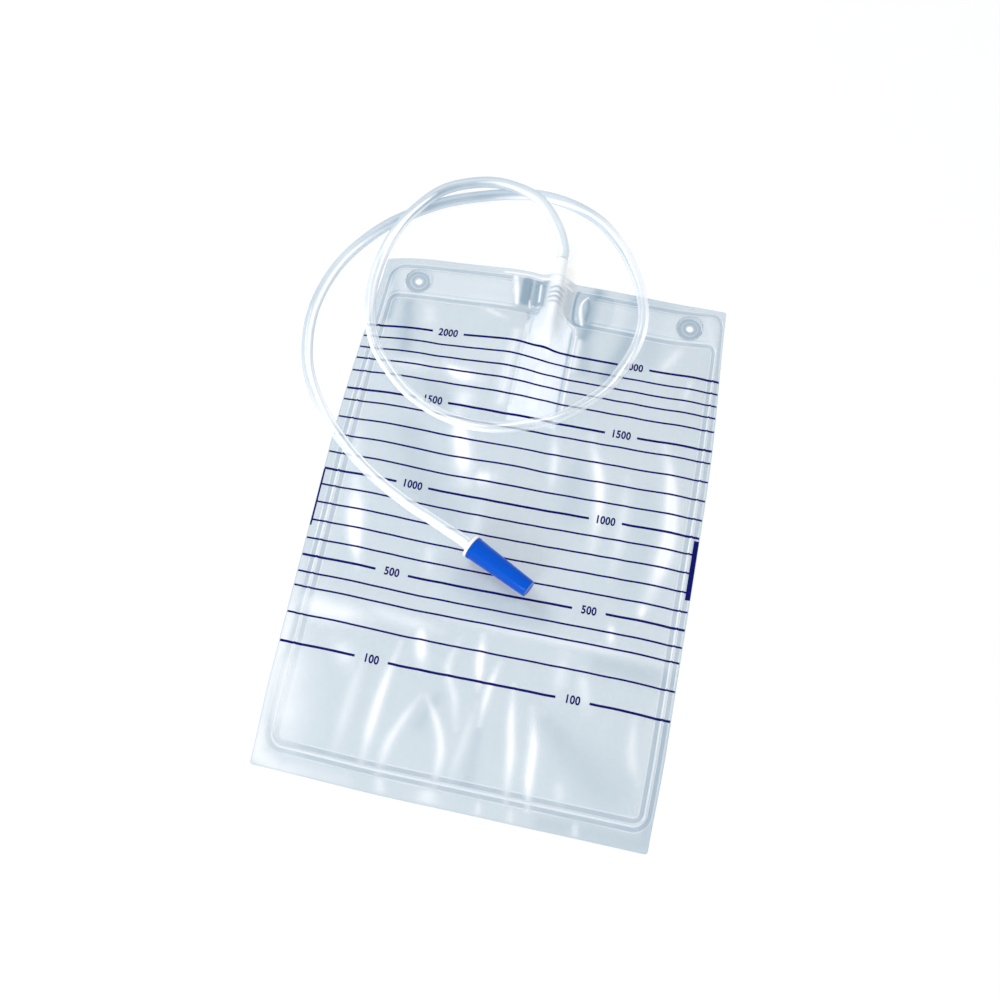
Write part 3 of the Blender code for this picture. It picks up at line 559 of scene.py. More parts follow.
def drawn(x, y):
    """From the flat film to the bag as it lies: narrower at both ends, its left corner drawn down."""
    disc = eyelet_distance(x, y) < EYELET_DISC
    sx = np.where(disc, np.sign(x) * EYELET_X, x)
    sy = np.where(disc, EYELET_Y, y)
    side = sx / HALF_WIDTH
    narrows = HEADER_NARROWS * smooth((sy - 20.0) / 150.0) ** 1.3
    narrows = narrows + FOOT_NARROWS * smooth((-sy - 100.0) / 60.0)
    across = x - narrows * np.sign(side) * side**8
    across = across + 1.5 * hill(sx, 76.0, 30.0, 24.0) * smooth((sy - 100.0) / 30.0)
    left = np.clip((-0.4 - side) / 0.6, 0, 1)
    rise = np.clip((sy + 0.13 * HALF_HEIGHT) / (1.13 * HALF_HEIGHT), 0, 1)
    along = y - CORNER_DRAW * left**2 * rise**2
    foot = smooth((-sy - 100.0) / 50.0)
    along = along + 2.4 * smooth((sx - 62) / 34) * smooth((sy + 130) / 260) * (1 - smooth((sy - 146) / 7))
    along = along + 1.5 * smooth((-sx - 30) / 68) * smooth((40 - sy) / 90)
    for amount, reach, rise in PULLS:
        along = along + amount * hill(sx, *reach) * hill(sy, *rise)
    along = along - 0.44 * side * smooth((-40.0 - sy) / 30.0) - (1.35 * side + 0.6) * foot
    return across, along


def on_film(x, y, above):
    """Points in metres on the front film, at places given on the flat film."""
    across, along = drawn(x, y)
    return np.stack([across, along, front_height(x, y) + above], axis=-1) * MM


def cuts(*runs):
    """Grid positions through runs of start, end and step."""
    parts = [np.linspace(a, b, round((b - a) / step) + 1) for a, b, step in runs]
    return np.unique(np.round(np.concatenate(parts), 5))


def film_grid(fine, coarse):
    """A flat film with round corners and eyelet holes: x, y and the faces."""
    columns = cuts(
        (-HALF_WIDTH, -82.0, fine),
        (-82.0, -66.0, fine * 1.2),
        (-66.0, -22.0, coarse),
        (-22.0, 22.0, fine * 1.3),
        (22.0, 66.0, coarse),
        (66.0, 82.0, fine * 1.2),
        (82.0, HALF_WIDTH, fine),
    )
    rows = cuts((-HALF_HEIGHT, -126.0, fine * 1.1), (-126.0, 112.0, coarse), (112.0, HALF_HEIGHT, fine * 1.1))
    x, y = (part.ravel() for part in np.meshgrid(columns, rows))
    dx = np.maximum(np.abs(x) - HALF_WIDTH + FILM_CORNER, 0)
    dy = np.maximum(np.abs(y) - HALF_HEIGHT + FILM_CORNER, 0)
    corner = (dx > 0) & (dy > 0)
    share = np.where(corner, np.maximum(dx, dy) / np.maximum(np.hypot(dx, dy), 1e-9), 1.0)
    x = np.where(corner, x - np.sign(x) * dx * (1 - share), x)
    y = np.where(corner, y - np.sign(y) * dy * (1 - share), y)
    faces = grid_faces(len(columns), len(rows))
    distance = eyelet_distance(x, y)
    centre = eyelet_distance(x[faces].mean(axis=1), y[faces].mean(axis=1))
    kept, cut = faces[centre >= EYELET_HOLE], faces[centre < EYELET_HOLE]
    edge = np.intersect1d(kept, cut)
    scale = EYELET_HOLE / distance[edge]
    middle = np.sign(x[edge]) * EYELET_X
    x[edge] = middle + (x[edge] - middle) * scale
    y[edge] = EYELET_Y + (y[edge] - EYELET_Y) * scale
    used, faces = np.unique(kept, return_inverse=True)
    return x[used], y[used], faces.reshape(-1, 4)


def covered(x, y):
    """1 where the front film lies tight over the connector or the valve."""
    body = smooth((6.5 - np.abs(x - 1.0)) / 2.5) * smooth((y - VALVE_HIGH[1] + 5.0) / 4.0)
    cut = np.maximum(y - VALVE_SHOULDER, 0) * 0.75
    inside = np.minimum(x - VALVE_LOW[0], VALVE_HIGH[0] - x) - cut
    inside = np.minimum(inside, y - VALVE_LOW[1])
    return np.maximum(body, smooth((inside + 0.4) / 1.2))


def paint_film(mesh, x, y):
    """Store the film's masks (painted shade, haze with painted sheen, tight, dark lines with painted shade)
    and its distances to the weld's edges.
    """
    weld, depth, pouch = film_edges(x, y, outlined=True)
    eyelet = eyelet_distance(x, y)
    disc = smooth((EYELET_DISC - eyelet) / 0.5)
    free = 1 - beside_connector(x, y)
    tight = covered(x, y)
    # Painted shade and dark reflections from the shades and panels, painted shade rings round the eyelets,
    # and darker welded eyelet discs
    shade = [strength * stroke(x, y, points) for strength, points in SHADES]
    # Painted sheen: paler where the header's pockets stand up, and along the folds
    haze = [0.30 * free * smooth(depth - 0.9)]
    for strength, height, points in FOLDS_AND_SHEEN:
        soft = stroke(x, y, points, FOLD_TAPER if height else 0.0)
        haze.append(np.minimum(1.15 * strength * soft, 1.0))
    for *box, shaded, hazed in PANELS:
        patch = smooth(0.5 - box_distance(x, y, box) / 1.6)
        shade.append(shaded * patch)
        haze.append(hazed * patch)
    shade += [strength * bell(eyelet - radius, width) for radius, width, strength in EYELET_SHADES]
    shade = np.maximum.reduce([*shade, 0.55 * disc])
    # Painted highlight rings round the eyelets, and paler film where it lies tight over the connector and the
    # valve
    rings = [strength * bell(eyelet - radius, width) for radius, width, strength in EYELET_HIGHLIGHTS]
    haze = np.maximum.reduce([np.maximum.reduce(haze) * (1 - 0.8 * disc), *rings, 0.60 * tight])
    rim = np.minimum(HALF_WIDTH - np.abs(x), HALF_HEIGHT - np.abs(y))
    # Dark lines: the valve's seams, painted shade by the ribs and pockets, and a darker line along the film's
    # cut edge
    dark_line = [strength * stroke(x, y, points) for strength, points in DARK_LINES]
    dark_line = np.maximum.reduce([*dark_line, 0.35 * bell(rim, 0.6)])
    distances = (weld, np.where(disc > 0.5, -DISTANCE_RANGE / 2, depth), pouch)
    distances = [np.clip(distance / DISTANCE_RANGE + 0.5, 0, 1) for distance in distances]
    store(mesh, "film_marks", [shade, haze, tight, dark_line])
    store(mesh, "film_edges", [*distances, free])


# Node trees
class Signal:
    """A node's output that can be added to, taken from and multiplied by numbers and other outputs."""

    def __init__(self, socket):
        self.socket = socket

    def __add__(self, other):
        return calc("ADD", self, other)

    def __sub__(self, other):
        return calc("SUBTRACT", self, other)

    def __rsub__(self, other):
        return calc("SUBTRACT", other, self)

    def __mul__(self, other):
        return calc("MULTIPLY", self, other)

    __rmul__ = __mul__


def add(tree, kind, inputs=None, **settings):
    """Add a node, with its settings and its sockets' values or links."""
    made = tree.nodes.new(kind)
    for name, value in settings.items():
        setattr(made, name, value)
    for name, value in (inputs or {}).items():
        if isinstance(value, Signal):
            tree.links.new(value.socket, made.inputs[name])
        else:
            made.inputs[name].default_value = value
    return made


def signal(tree, kind, output, inputs=None, **settings):
    """One output of a new node."""
    return Signal(add(tree, kind, inputs, **settings).outputs[output])


def calc(operation, first, second, clamp=False):
    """A maths node's result. One of its inputs, or both, is a signal."""
    tree = (first if isinstance(first, Signal) else second).socket.id_data
    return signal(tree, "ShaderNodeMath", 0, {0: first, 1: second}, operation=operation, use_clamp=clamp)


def largest(first, *others):
    for other in others:
        first = calc("MAXIMUM", first, other)
    return first


def blend(factor, first, second):
    """A colour mixed from two, by a signal."""
    inputs = {"Factor": factor, MIX_A: first, MIX_B: second}
    return signal(factor.socket.id_data, "ShaderNodeMix", MIX_RESULT, inputs, data_type="RGBA")


def stretch(value, low, high, to_low=0.0, to_high=1.0):
    """A signal's range from low to high, brought to another range."""
    inputs = {"Value": value, "From Min": low, "From Max": high, "To Min": to_low, "To Max": to_high}
    return signal(value.socket.id_data, "ShaderNodeMapRange", 0, inputs)


def surface_place(tree):
    return signal(tree, "ShaderNodeTexCoord", "Object")


def scaled(place, scale):
    return signal(place.socket.id_data, "ShaderNodeMapping", 0, {"Vector": place, "Scale": scale})


def noise(place, scale, detail):
    inputs = {"Vector": place, "Scale": scale, "Detail": detail}
    return signal(place.socket.id_data, "ShaderNodeTexNoise", "Fac", inputs)


def bump(height, strength, distance):
    inputs = {"Height": height, "Strength": strength, "Distance": distance}
    return signal(height.socket.id_data, "ShaderNodeBump", 0, inputs)


def channels(colour):
    """A colour's red, green and blue."""
    split = add(colour.socket.id_data, "ShaderNodeSeparateColor", {"Color": colour})
    return [Signal(split.outputs[name]) for name in ("Red", "Green", "Blue")]


def stored(tree, name):
    """The four values that a mesh keeps under a name."""
    kept = add(tree, "ShaderNodeAttribute", attribute_name=name).outputs
    return [*channels(Signal(kept["Color"])), Signal(kept["Alpha"])]


def ramp(value, stops):
    """Two masks from a stored distance: each stop is a distance in millimetres and both values."""
    made = add(value.socket.id_data, "ShaderNodeValToRGB", {"Fac": value})
    elements = made.color_ramp.elements
    for i, (place, first, second) in enumerate(stops):
        mark = elements[i] if i < 2 else elements.new(1.0)
        mark.position = place / DISTANCE_RANGE + 0.5
        mark.color = (first, second, 0.0, 1.0)
    return channels(Signal(made.outputs["Color"]))[:2]


def finish_group(build, inputs):
    """The node group that build fills. It returns the outputs by the names of the shader's sockets."""
    name = build.__name__.replace("_", " ")
    if name in bpy.data.node_groups:
        return bpy.data.node_groups[name]
    group = bpy.data.node_groups.new(name, "ShaderNodeTree")
    for socket, value in inputs.items():
        kind = "NodeSocketColor" if isinstance(value, tuple) else "NodeSocketFloat"
        group.interface.new_socket(name=socket, in_out="INPUT", socket_type=kind)
    given = {socket.name: Signal(socket) for socket in add(group, "NodeGroupInput").outputs if socket.name}
    made = build(group, given)
    for socket in made:
        kind = "NodeSocket" + SOCKET_KINDS.get(socket, "Float")
        group.interface.new_socket(name=socket, in_out="OUTPUT", socket_type=kind)
    add(group, "NodeGroupOutput", made)
    return group


def new_material(name, **values):
    """A material with one Principled shader and its plain values."""
    material = bpy.data.materials.new(name)
    material.use_nodes = True
    shader = material.node_tree.nodes["Principled BSDF"]
    for socket, value in values.items():
        shader.inputs[socket.replace("_", " ")].default_value = value
    return material, material.node_tree, shader


def finished(name, build, inputs, **values):
    """A material whose shader takes a group's outputs on the sockets of the same names."""
    material, tree, shader = new_material(name, **values)
    finish = add(tree, "ShaderNodeGroup", inputs, node_tree=finish_group(build, inputs))
    for output in finish.outputs:
        tree.links.new(output, shader.inputs[output.name])
    return material, tree, finish


# Materials
def rgba(colour):
    return (*colour, 1.0)


def film_finish(group, given):
    """Finish of a clear PVC film from its stored masks of painted shade and painted sheen, with cloudy haze
    and a fine skin.
    """
    place = surface_place(group)
    cloud = noise(scaled(place, (34.0, 16.0, 16.0)), 1.0, 4.0)
    skin = noise(place, 900.0, 2.0)
    shade, haze, tight, dark_line = stored(group, "film_marks")
    weld, depth, pouch, free = stored(group, "film_edges")

    # Bands are the fused film, lines are painted highlights along their edges
    outer_band, outer_glint = ramp(weld, ((-0.6, 0, 0), (-0.2, 0, 0.35), (0.2, 0, 0.35), (0.6, 1, 0)))
    flat, raised_glint = ramp(depth, ((-0.5, 1, 0), (-0.1, 0, 0.52), (0.5, 0, 0.52), (0.95, 0, 0)))
    inner_band, inner_glint = ramp(pouch, ((-0.5, 1, 0), (-0.1, 0, 0.42), (0.3, 0, 0.42), (0.75, 0, 0)))
    band = outer_band * largest(flat, 1.0 - free) * inner_band * (1.0 - tight)
    line = largest(outer_glint, raised_glint * free, inner_glint * free) * (1.0 - 0.8 * tight)

    cloudy = stretch(cloud, 0.35, 0.70) * given["Cloud"]
    milky = largest(calc("ADD", cloudy, haze, clamp=True), line)
    # Over the film's own tint: painted shade, then haze with painted sheen and painted highlight lines, then
    # the dark lines
    shade = shade * (1.0 - 0.45 * haze)
    colour = blend(band, given["Film"], given["Weld"])
    colour = blend(shade, colour, given["Shade"])
    colour = blend(milky, colour, given["Haze"])
    colour = blend(dark_line, colour, given["Shade"])
    alpha = given["Opacity"] * (1.0 - 0.75 * tight) + 0.56 * milky + 0.13 * band + 0.35 * dark_line
    return {
        "Base Color": colour,
        "Alpha": calc("ADD", alpha, 0.28 * shade, clamp=True),
        "Roughness": stretch(skin, 0.3, 0.7, 0.16, 0.24),
        "Normal": bump(skin, 0.08, 0.0002),
    }


def film_material(name, opacity, cloud):
    settings = bpy.context.scene.bag_film
    inputs = {
        "Film": rgba(settings.colour),
        "Weld": rgba(settings.weld_colour),
        "Shade": rgba(settings.shade_colour),
        "Haze": rgba(settings.haze_colour),
        "Opacity": opacity,
        "Cloud": cloud,
    }
    return finished(name, film_finish, inputs, IOR=1.52)[0]


def moulded_finish(group, given):
    """Slight flow marks and a fine skin of a moulded plastic piece."""
    place = surface_place(group)
    flow = noise(place, 120.0, 3.0)
    return {
        "Base Color": blend(flow, given["Colour"], given["Deep"]),
        "Roughness": flow * 0.08 + given["Skin"],
        "Normal": bump(noise(place, 2200.0, 2.0), 0.10, 0.0001),
    }


def moulded_material(name, colour, deepen, skin, **values):
    """Moulded plastic, its flow marks deepened by a share of its colour."""
    inputs = {"Colour": rgba(colour), "Deep": rgba([c * deepen for c in colour]), "Skin": skin}
    return finished(name, moulded_finish, inputs, **values)[0]


def ink_material():
    ink = bpy.context.scene.bag_print.ink
    material, tree, shader = new_material("printed ink", Roughness=0.4, Specular_IOR_Level=0.06)
    worn = rgba([c * 1.5 + 0.004 for c in ink])
    colour = blend(noise(surface_place(tree), 700.0, 3.0), rgba(ink), worn)
    tree.links.new(colour.socket, shader.inputs["Base Color"])
    return material


def tube_finish(group, given):
    """Tint and cover of the soft tube, from its stored painted darkness, painted highlights and cover."""
    dark, tube_sheen, cover = stored(group, "tube_marks")[:3]
    drift = noise(surface_place(group), 70.0, 3.0) - 0.5
    dark = calc("ADD", drift * 0.25, dark, clamp=True)
    rim = calc("POWER", given["Grazing"], 2.0)
    # A darker rim at grazing angles, where the painted darkness is
    outline = rim * calc("MULTIPLY", dark, 2.2, clamp=True)
    colour = blend(dark, given["Pale"], given["Deep"])
    colour = blend(tube_sheen, colour, TUBE_SHEEN)
    colour = blend(outline, colour, given["Deep"])
    alpha = largest(drift * 0.2 + cover, tube_sheen * 0.94)
    return {
        "Base Color": colour,
        "Alpha": calc("ADD", outline * 0.45, alpha, clamp=True),
        # The painted highlights glow a little: painted light
        "Emission Color": blend(tube_sheen * (1.0 - outline), BLACK, WHITE),
    }


def tube_material():
    settings = bpy.context.scene.bag_tube
    material, tree, finish = finished(
        "clear tube",
        tube_finish,
        {"Pale": rgba(settings.pale), "Deep": rgba(settings.deep), "Grazing": 0.0},
        IOR=1.5,
        Roughness=0.12,
        Coat_Weight=0.4,
        Coat_Roughness=0.06,
        Emission_Strength=TUBE_PAINTED_GLOW,
    )
    grazing = signal(tree, "ShaderNodeLayerWeight", "Facing", {"Blend": 0.5})
    tree.links.new(grazing.socket, finish.inputs["Grazing"])
    return material


def white_plastic():
    """The connectors' material, made once."""
    colour = bpy.context.scene.bag_mouldings.plastic
    made = bpy.data.materials.get("white moulding")
    return made or moulded_material("white moulding", colour, 0.96, 0.22, IOR=1.45)


def light_path(tree):
    """Signals that are 1 for what the camera sees straight, in reflections and through clear pieces."""
    rays = add(tree, "ShaderNodeLightPath").outputs
    return [Signal(rays[name]) for name in ("Is Camera Ray", "Is Glossy Ray", "Is Transmission Ray")]


def mix_shaders(share, first, second, output=None):
    """Two shaders mixed by a signal, and led to the tree's output if it is given."""
    tree = share.socket.id_data
    made = signal(tree, "ShaderNodeMixShader", 0, {0: share, 1: first, 2: second})
    if output:
        tree.links.new(made.socket, output.inputs["Surface"])
    return made


# Meshes
def store(mesh, name, values):
    """Keep four values at each of the mesh's points, under a name."""
    marks = mesh.color_attributes.new(name=name, type="FLOAT_COLOR", domain="POINT")
    marks.data.foreach_set("color", np.stack(values, axis=-1).astype(np.float32).ravel())


def add_piece(name, mesh, material, body, soften=0.0):
    """Put a smooth mesh in the scene as a piece that rides on a body, its edges softened by so many mm."""
    mesh.materials.append(material)
    mesh.shade_smooth()
    piece = bpy.data.objects.new(name, mesh)
    bpy.context.scene.collection.objects.link(piece)
    if soften:
        mesh.set_sharp_from_angle(angle=pi / 5)
        bevel = piece.modifiers.new("soft edges", "BEVEL")
        bevel.width = soften * MM
        bevel.segments = 3
        bevel.limit_method = "ANGLE"
        bevel.angle_limit = radians(25)
    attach(piece, body)
    return piece


def soft_piece(name, vertices, faces, material):
    """A piece of film, ink or tube. It is too clear or thin to cast a shadow."""
    mesh = bpy.data.meshes.new(name)
    mesh.from_pydata([tuple(v) for v in vertices], [], [tuple(f) for f in faces])
    piece = add_piece(name, mesh, material, "bag")
    piece.visible_shadow = False
    return piece


def grid_faces(wide, tall):
    """Faces of a grid of points that runs row by row."""
    first = (np.arange(tall - 1)[:, None] * wide + np.arange(wide - 1)).ravel()
    return np.stack([first, first + 1, first + wide + 1, first + wide], axis=1)


def ribbon(across, along, width, upright=False):
    """A printed stripe through a row of points on the flat film: x, y and faces."""
    shift = np.array([[-width / 2], [width / 2]])
    x = (across + shift * upright).ravel()
    y = (along + shift * (not upright)).ravel()
    faces = grid_faces(len(across), 2)
    return x, y, faces[:, ::-1] if upright else faces


def numeral_outline(text, height):
    """A plain numeral as a flat mesh, cut finely enough to follow the film: x, y and faces."""
    curve = bpy.data.curves.new("numeral", "FONT")
    curve.body = text
    curve.align_x = "CENTER"
    curve.align_y = "CENTER"
    curve.size = height / NUMERAL_SHARE
    curve.offset = NUMERAL_WEIGHT
    curve.space_character = 1.08
    holder = bpy.data.objects.new("numeral", curve)
    bpy.context.scene.collection.objects.link(holder)
    bpy.context.view_layer.update()
    mesh = bpy.data.meshes.new_from_object(holder.evaluated_get(bpy.context.evaluated_depsgraph_get()))
    bpy.data.objects.remove(holder)
    shape = bmesh.new()
    shape.from_mesh(mesh)
    for axis in ((1, 0, 0), (0, 1, 0)):
        for step in range(-8, 9):
            everything = shape.verts[:] + shape.edges[:] + shape.faces[:]
            point = Vector(axis) * step * NUMERAL_CUT
            bmesh.ops.bisect_plane(shape, geom=everything, plane_co=point, plane_no=axis)
    bmesh.ops.triangulate(shape, faces=shape.faces)
    shape.verts.index_update()
    x = np.array([v.co.x for v in shape.verts]) * NUMERAL_WIDTH
    y = np.array([v.co.y for v in shape.verts])
    faces = [[v.index for v in face.verts] for face in shape.faces]
    shape.free()
    return x, y, np.array(faces)


def lathe(name, profile, placement, material, body, soften):
    """A turned piece: profile is radius and distance along its axis, in millimetres, round the section."""
    shape = bmesh.new()
    section = [shape.verts.new((radius * MM, 0, along * MM)) for radius, along in profile]
    edges = [shape.edges.new((a, b)) for a, b in zip(section, section[1:] + section[:1])]
    edges = [e for e in edges if max(v.co.x for v in e.verts) > 1e-9]
    bmesh.ops.spin(
        shape,
        geom=section + edges,
        cent=(0, 0, 0),
        axis=(0, 0, 1),
        angle=2 * pi,
        steps=bpy.context.scene.bag_mouldings.sides,
        use_merge=True,
    )
    bmesh.ops.remove_doubles(shape, verts=shape.verts, dist=1e-7)
    bmesh.ops.dissolve_degenerate(shape, dist=1e-7, edges=shape.edges)
    stray = [edge for edge in shape.edges if not edge.link_faces]
    bmesh.ops.delete(shape, geom=stray, context="EDGES")
    bmesh.ops.recalc_face_normals(shape, faces=shape.faces)
    shape.transform(placement)
    mesh = bpy.data.meshes.new(name)
    shape.to_mesh(mesh)
    shape.free()
    return add_piece(name, mesh, material, body, soften)


def cap_frame():
    """The cap's place: its mouth at the origin and its closed end along +Z."""
    heading = radians(CAP_HEADING)
    along = Vector((cos(heading), sin(heading), 0))
    turn = along.to_track_quat("Z", "Y").to_matrix().to_4x4()
    return Matrix.Translation(Vector(CAP_MOUTH) * MM) @ turn


def curve_through(route, count):
    """Points at even steps along a smooth curve through the route."""
    points = [Vector(p) for p in route]
    handles = [(points[1] - points[0]) / 3]
    handles += [(b - a) / 6 for a, b in zip(points, points[2:])]
    handles.append((points[-1] - points[-2]) / 3)
    fine = [points[0]]
    for i in range(len(points) - 1):
        start, end = points[i], points[i + 1]
        piece = interpolate_bezier(start, start + handles[i], end - handles[i + 1], end, 17)
        fine += piece[1:]
    fine = np.array([tuple(p) for p in fine])
    run = np.append(0.0, np.cumsum(np.linalg.norm(np.diff(fine, axis=0), axis=1)))
    targets = np.linspace(0, run[-1], count)
    return np.stack([np.interp(targets, run, fine[:, i]) for i in range(3)], axis=1)


def tube_path():
    """The tube's centreline, from the inlet's socket to the flange inside the cap."""
    start_y = (SOCKET_TOP + CLEARANCE) * MM
    height = CONNECTOR_Z * MM
    diameter = bpy.context.scene.bag_tube.diameter
    face = (-FLANGE_LENGTH - 2 * CLEARANCE) * MM
    end = cap_frame() @ Vector((0, 0, face))
    before = cap_frame() @ Vector((0, 0, face - diameter))
    start = [(0, start_y, height), (0, start_y + diameter, height)]
    route = [Vector(point) * MM for point in TUBE_ROUTE]
    return curve_through([*start, *route, before, end], TUBE_STEPS)


def hollow_tube(path, outer, inner, sides):
    """A tube's wall along a path, with open ends: vertices and faces."""
    ahead = np.gradient(path, axis=0)
    ahead /= np.linalg.norm(ahead, axis=1)[:, None]
    up = np.array([0.0, 0.0, 1.0])
    turns = np.arange(sides)[:, None] * 2 * pi / sides
    rings = []
    for point, tangent in zip(path, ahead):
        up = up - tangent * (up @ tangent)
        up /= np.linalg.norm(up)
        circle = np.cos(turns) * np.cross(tangent, up) + np.sin(turns) * up
        rings.append([point + circle * outer, point + circle * inner])
    vertices = np.reshape(rings, (-1, 3))
    here = np.arange(len(vertices)).reshape(len(path), 2, sides)
    beside = np.roll(here, -1, axis=2)
    walls = np.stack([here[:-1], beside[:-1], beside[1:], here[1:]], axis=-1)
    near = np.stack([here[0, 0], here[0, 1], beside[0, 1], beside[0, 0]], axis=-1)
    far = np.stack([here[-1, 0], beside[-1, 0], beside[-1, 1], here[-1, 1]], axis=-1)
    outside, inside = walls[:, 0].reshape(-1, 4), walls[:, 1][..., [0, 3, 2, 1]].reshape(-1, 4)
    return vertices, np.concatenate([outside, inside, near, far])


def towards_camera(path):
    """Angle round the tube from its upper side to the photo's camera, at each point of its path."""
    ahead = np.gradient(path, axis=0)
    ahead /= np.linalg.norm(ahead, axis=1)[:, None]
    up = (0.0, 0.0, 1.0) - ahead * ahead[:, 2:]
    view = CAMERA_PLACE - path
    return np.arctan2((view * up).sum(axis=1), (view * np.cross(ahead, up)).sum(axis=1)) - pi / 2


def paint_tube(mesh, path, length):
    """Store the tube's painted darkness, painted highlights and cover, from its streaks, on the side of the
    photo's camera.
    """
    table = np.array(TUBE_STREAKS, dtype=float)
    run = np.linspace(0, length, TUBE_STEPS)[:, None]
    columns = [np.interp(run, table[:, 0], table[:, i]) for i in range(1, table.shape[1])]
    dark, cover, left, streak, width, strength, groove, depth, right = columns
    turns = np.arange(TUBE_SIDES) * 2 * pi / TUBE_SIDES - towards_camera(path)[:, None]
    across = -np.cos(turns)
    upper = smooth((np.sin(turns) + 0.25) / 0.25)
    tube_sheen = left * smooth((-0.25 - across) / 0.3)
    tube_sheen = np.maximum(tube_sheen, strength * bell(across - streak, width))
    tube_sheen = np.maximum(tube_sheen, right * bell(across - 0.75, 0.2))
    line = depth * bell(across - groove, 0.16)
    tube_sheen = tube_sheen * (1 - line) * upper
    dark = np.clip(dark + 0.7 * line, 0, 1) + 0 * across
    cover = np.maximum(cover, 0.75 * line) * upper + 0.05
    outer = [dark, tube_sheen, cover, np.ones_like(tube_sheen)]
    inner = [dark, 0 * tube_sheen, 0 * tube_sheen + 0.05, np.ones_like(tube_sheen)]
    store(mesh, "tube_marks", [np.concatenate(pair, axis=1) for pair in zip(outer, inner)])


# Operators
class DRAINAGE_OT_films(Operator):
    """Build the two films of the bag"""

    bl_idname = "drainage.films"
    bl_label = "Films"

    def execute(self, context):
        opacity = context.scene.bag_film.opacity
        x, y, faces = film_grid(*FINE_GRID)
        material = film_material("clear film", opacity, 0.14)
        front = soft_piece("front_sheet", on_film(x, y, 0.0), faces, material)
        paint_film(front.data, x, y)
        x, y, faces = film_grid(*BACK_GRID)
        across, along = drawn(x, y)
        heights = BACK_TOP + arch(x, y) * smooth((np.abs(x) - 7.0) / 8.0)
        points = np.stack([across, along, heights], axis=-1) * MM
        material = film_material("clear back film", opacity * 0.5, 0.10)
        back = soft_piece("back_sheet", points, faces, material)
        store(back.data, "film_marks", [np.zeros(len(x))] * 4)
        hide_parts("front_film")
        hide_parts("back_film")
        return {"FINISHED"}


class DRAINAGE_OT_print(Operator):
    """Print the scale's lines, numerals and side bars on the front film"""

    bl_idname = "drainage.print"
    bl_label = "Print"

    def execute(self, context):
        settings = context.scene.bag_print
        shapes = []
        for place in PRINT_LINES:
            numeral = NUMERALS.get(place)
            width = settings.thick / MM if numeral else settings.thin / MM
            stops = [LINE_ENDS[0], *LINE_GAPS[0], *LINE_GAPS[1], LINE_ENDS[1]] if numeral else LINE_ENDS
            for start, end in zip(stops[::2], stops[1::2]):
                across = np.linspace(start, end, round((end - start) / LINE_STEP) + 1)
                shapes.append(ribbon(across, np.full_like(across, place), width))
            if numeral:
                x, y, faces = numeral_outline(numeral, settings.numeral / MM)
                shapes += [(x + centre, y + place, faces) for centre in NUMERAL_CENTRES]
        for centre, width, low, high in SIDE_BARS:
            shapes.append(ribbon(np.full(40, centre), np.linspace(low, high, 40), width, upright=True))
        vertices, faces, count = [], [], 0
        for x, y, own in shapes:
            vertices.append(on_film(x, y, INK_LIFT))
            faces += (own + count).tolist()
            count += len(x)
        soft_piece("printed_scale", np.concatenate(vertices), faces, ink_material())
        return {"FINISHED"}


class DRAINAGE_OT_valve(Operator):
    """Build the flutter valve's two films"""

    bl_idname = "drainage.valve"
    bl_label = "Valve"

    def execute(self, context):
        haze = context.scene.bag_film.haze_colour
        material, tree, shader = new_material("milky valve film", Roughness=0.3, Alpha=0.85)
        streak = noise(scaled(surface_place(tree), (260.0, 12.0, 30.0)), 1.0, 3.0)
        colour = blend(streak, rgba(haze), rgba([c * s for c, s in zip(haze, VALVE_TINT)]))
        tree.links.new(colour.socket, shader.inputs["Base Color"])
        wide, tall = 31, 90
        share, y = np.meshgrid(np.linspace(-1, 1, wide), np.linspace(VALVE_LOW[1], VALVE_HIGH[1], tall))
        share, y = share.ravel(), y.ravel()
        up = np.clip((y - VALVE_SHOULDER) / (VALVE_HIGH[1] - VALVE_SHOULDER), 0, 1)
        up = smooth((up - 0.15) / 0.75)
        half = (VALVE_HIGH[0] - VALVE_LOW[0]) / 2
        x = share * (half + (VALVE_NECK - half) * up) + VALVE_CENTRE - 2.0 * up
        rise = VALVE_FRONT_HIGH[2] - VALVE_FRONT_LOW[2] - 0.15
        fade = smooth((y - SPIGOT_END + 18.0) / 18.0)
        tented = VALVE_FRONT_LOW[2] + 0.1 + rise * fade * hill(x, 0.0, 8.5, 8.5)
        tented = np.minimum(tented, front_height(x, y) - 0.2)
        level = np.full_like(x, VALVE_LOW[2] + 0.1)
        for side, heights in (("back", level), ("front", tented)):
            points = np.stack([x, y, heights], axis=-1) * MM
            faces = grid_faces(wide, tall)
            soft_piece(f"valve_{side}_sheet", points, faces, material)
            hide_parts(f"valve_{side}_film")
        return {"FINISHED"}


class DRAINAGE_OT_inlet(Operator):
    """Build the inlet connector: spigot, ribs, body and socket"""

    bl_idname = "drainage.inlet"
    bl_label = "Inlet connector"

    def execute(self, context):
        bore, spigot, body, rib = 2.1, 2.7, 3.0, INLET_RADIUS
        ribs_start, pitch, count = 133.0, 2.6, 4
        profile = [(bore, SPIGOT_END), (spigot, SPIGOT_END), (spigot, ribs_start), (body, ribs_start)]
        for i in range(count):
            low = ribs_start + pitch * (i + 0.25)
            profile += [(body, low), (rib, low + 0.3 * pitch), (rib, low + 0.45 * pitch)]
            profile.append((body, low + 0.7 * pitch))
        ribs_end = ribs_start + count * pitch
        base = SOCKET_TOP - 14.0
        profile += [(body, ribs_end), (rib, ribs_end + 0.4), (rib, base)]
        profile += [(rib - 0.05, base + 0.4), (rib - 0.05, SOCKET_TOP - 0.4)]
        profile += [(rib - 0.4, SOCKET_TOP), (bore, SOCKET_TOP)]
        turn = Matrix.Translation((0, 0, CONNECTOR_Z * MM)) @ Matrix.Rotation(-pi / 2, 4, "X")
        piece = lathe("inlet_moulding", profile, turn, white_plastic(), "bag", 0.1)
        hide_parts("inlet_connector")
        return {"FINISHED"}


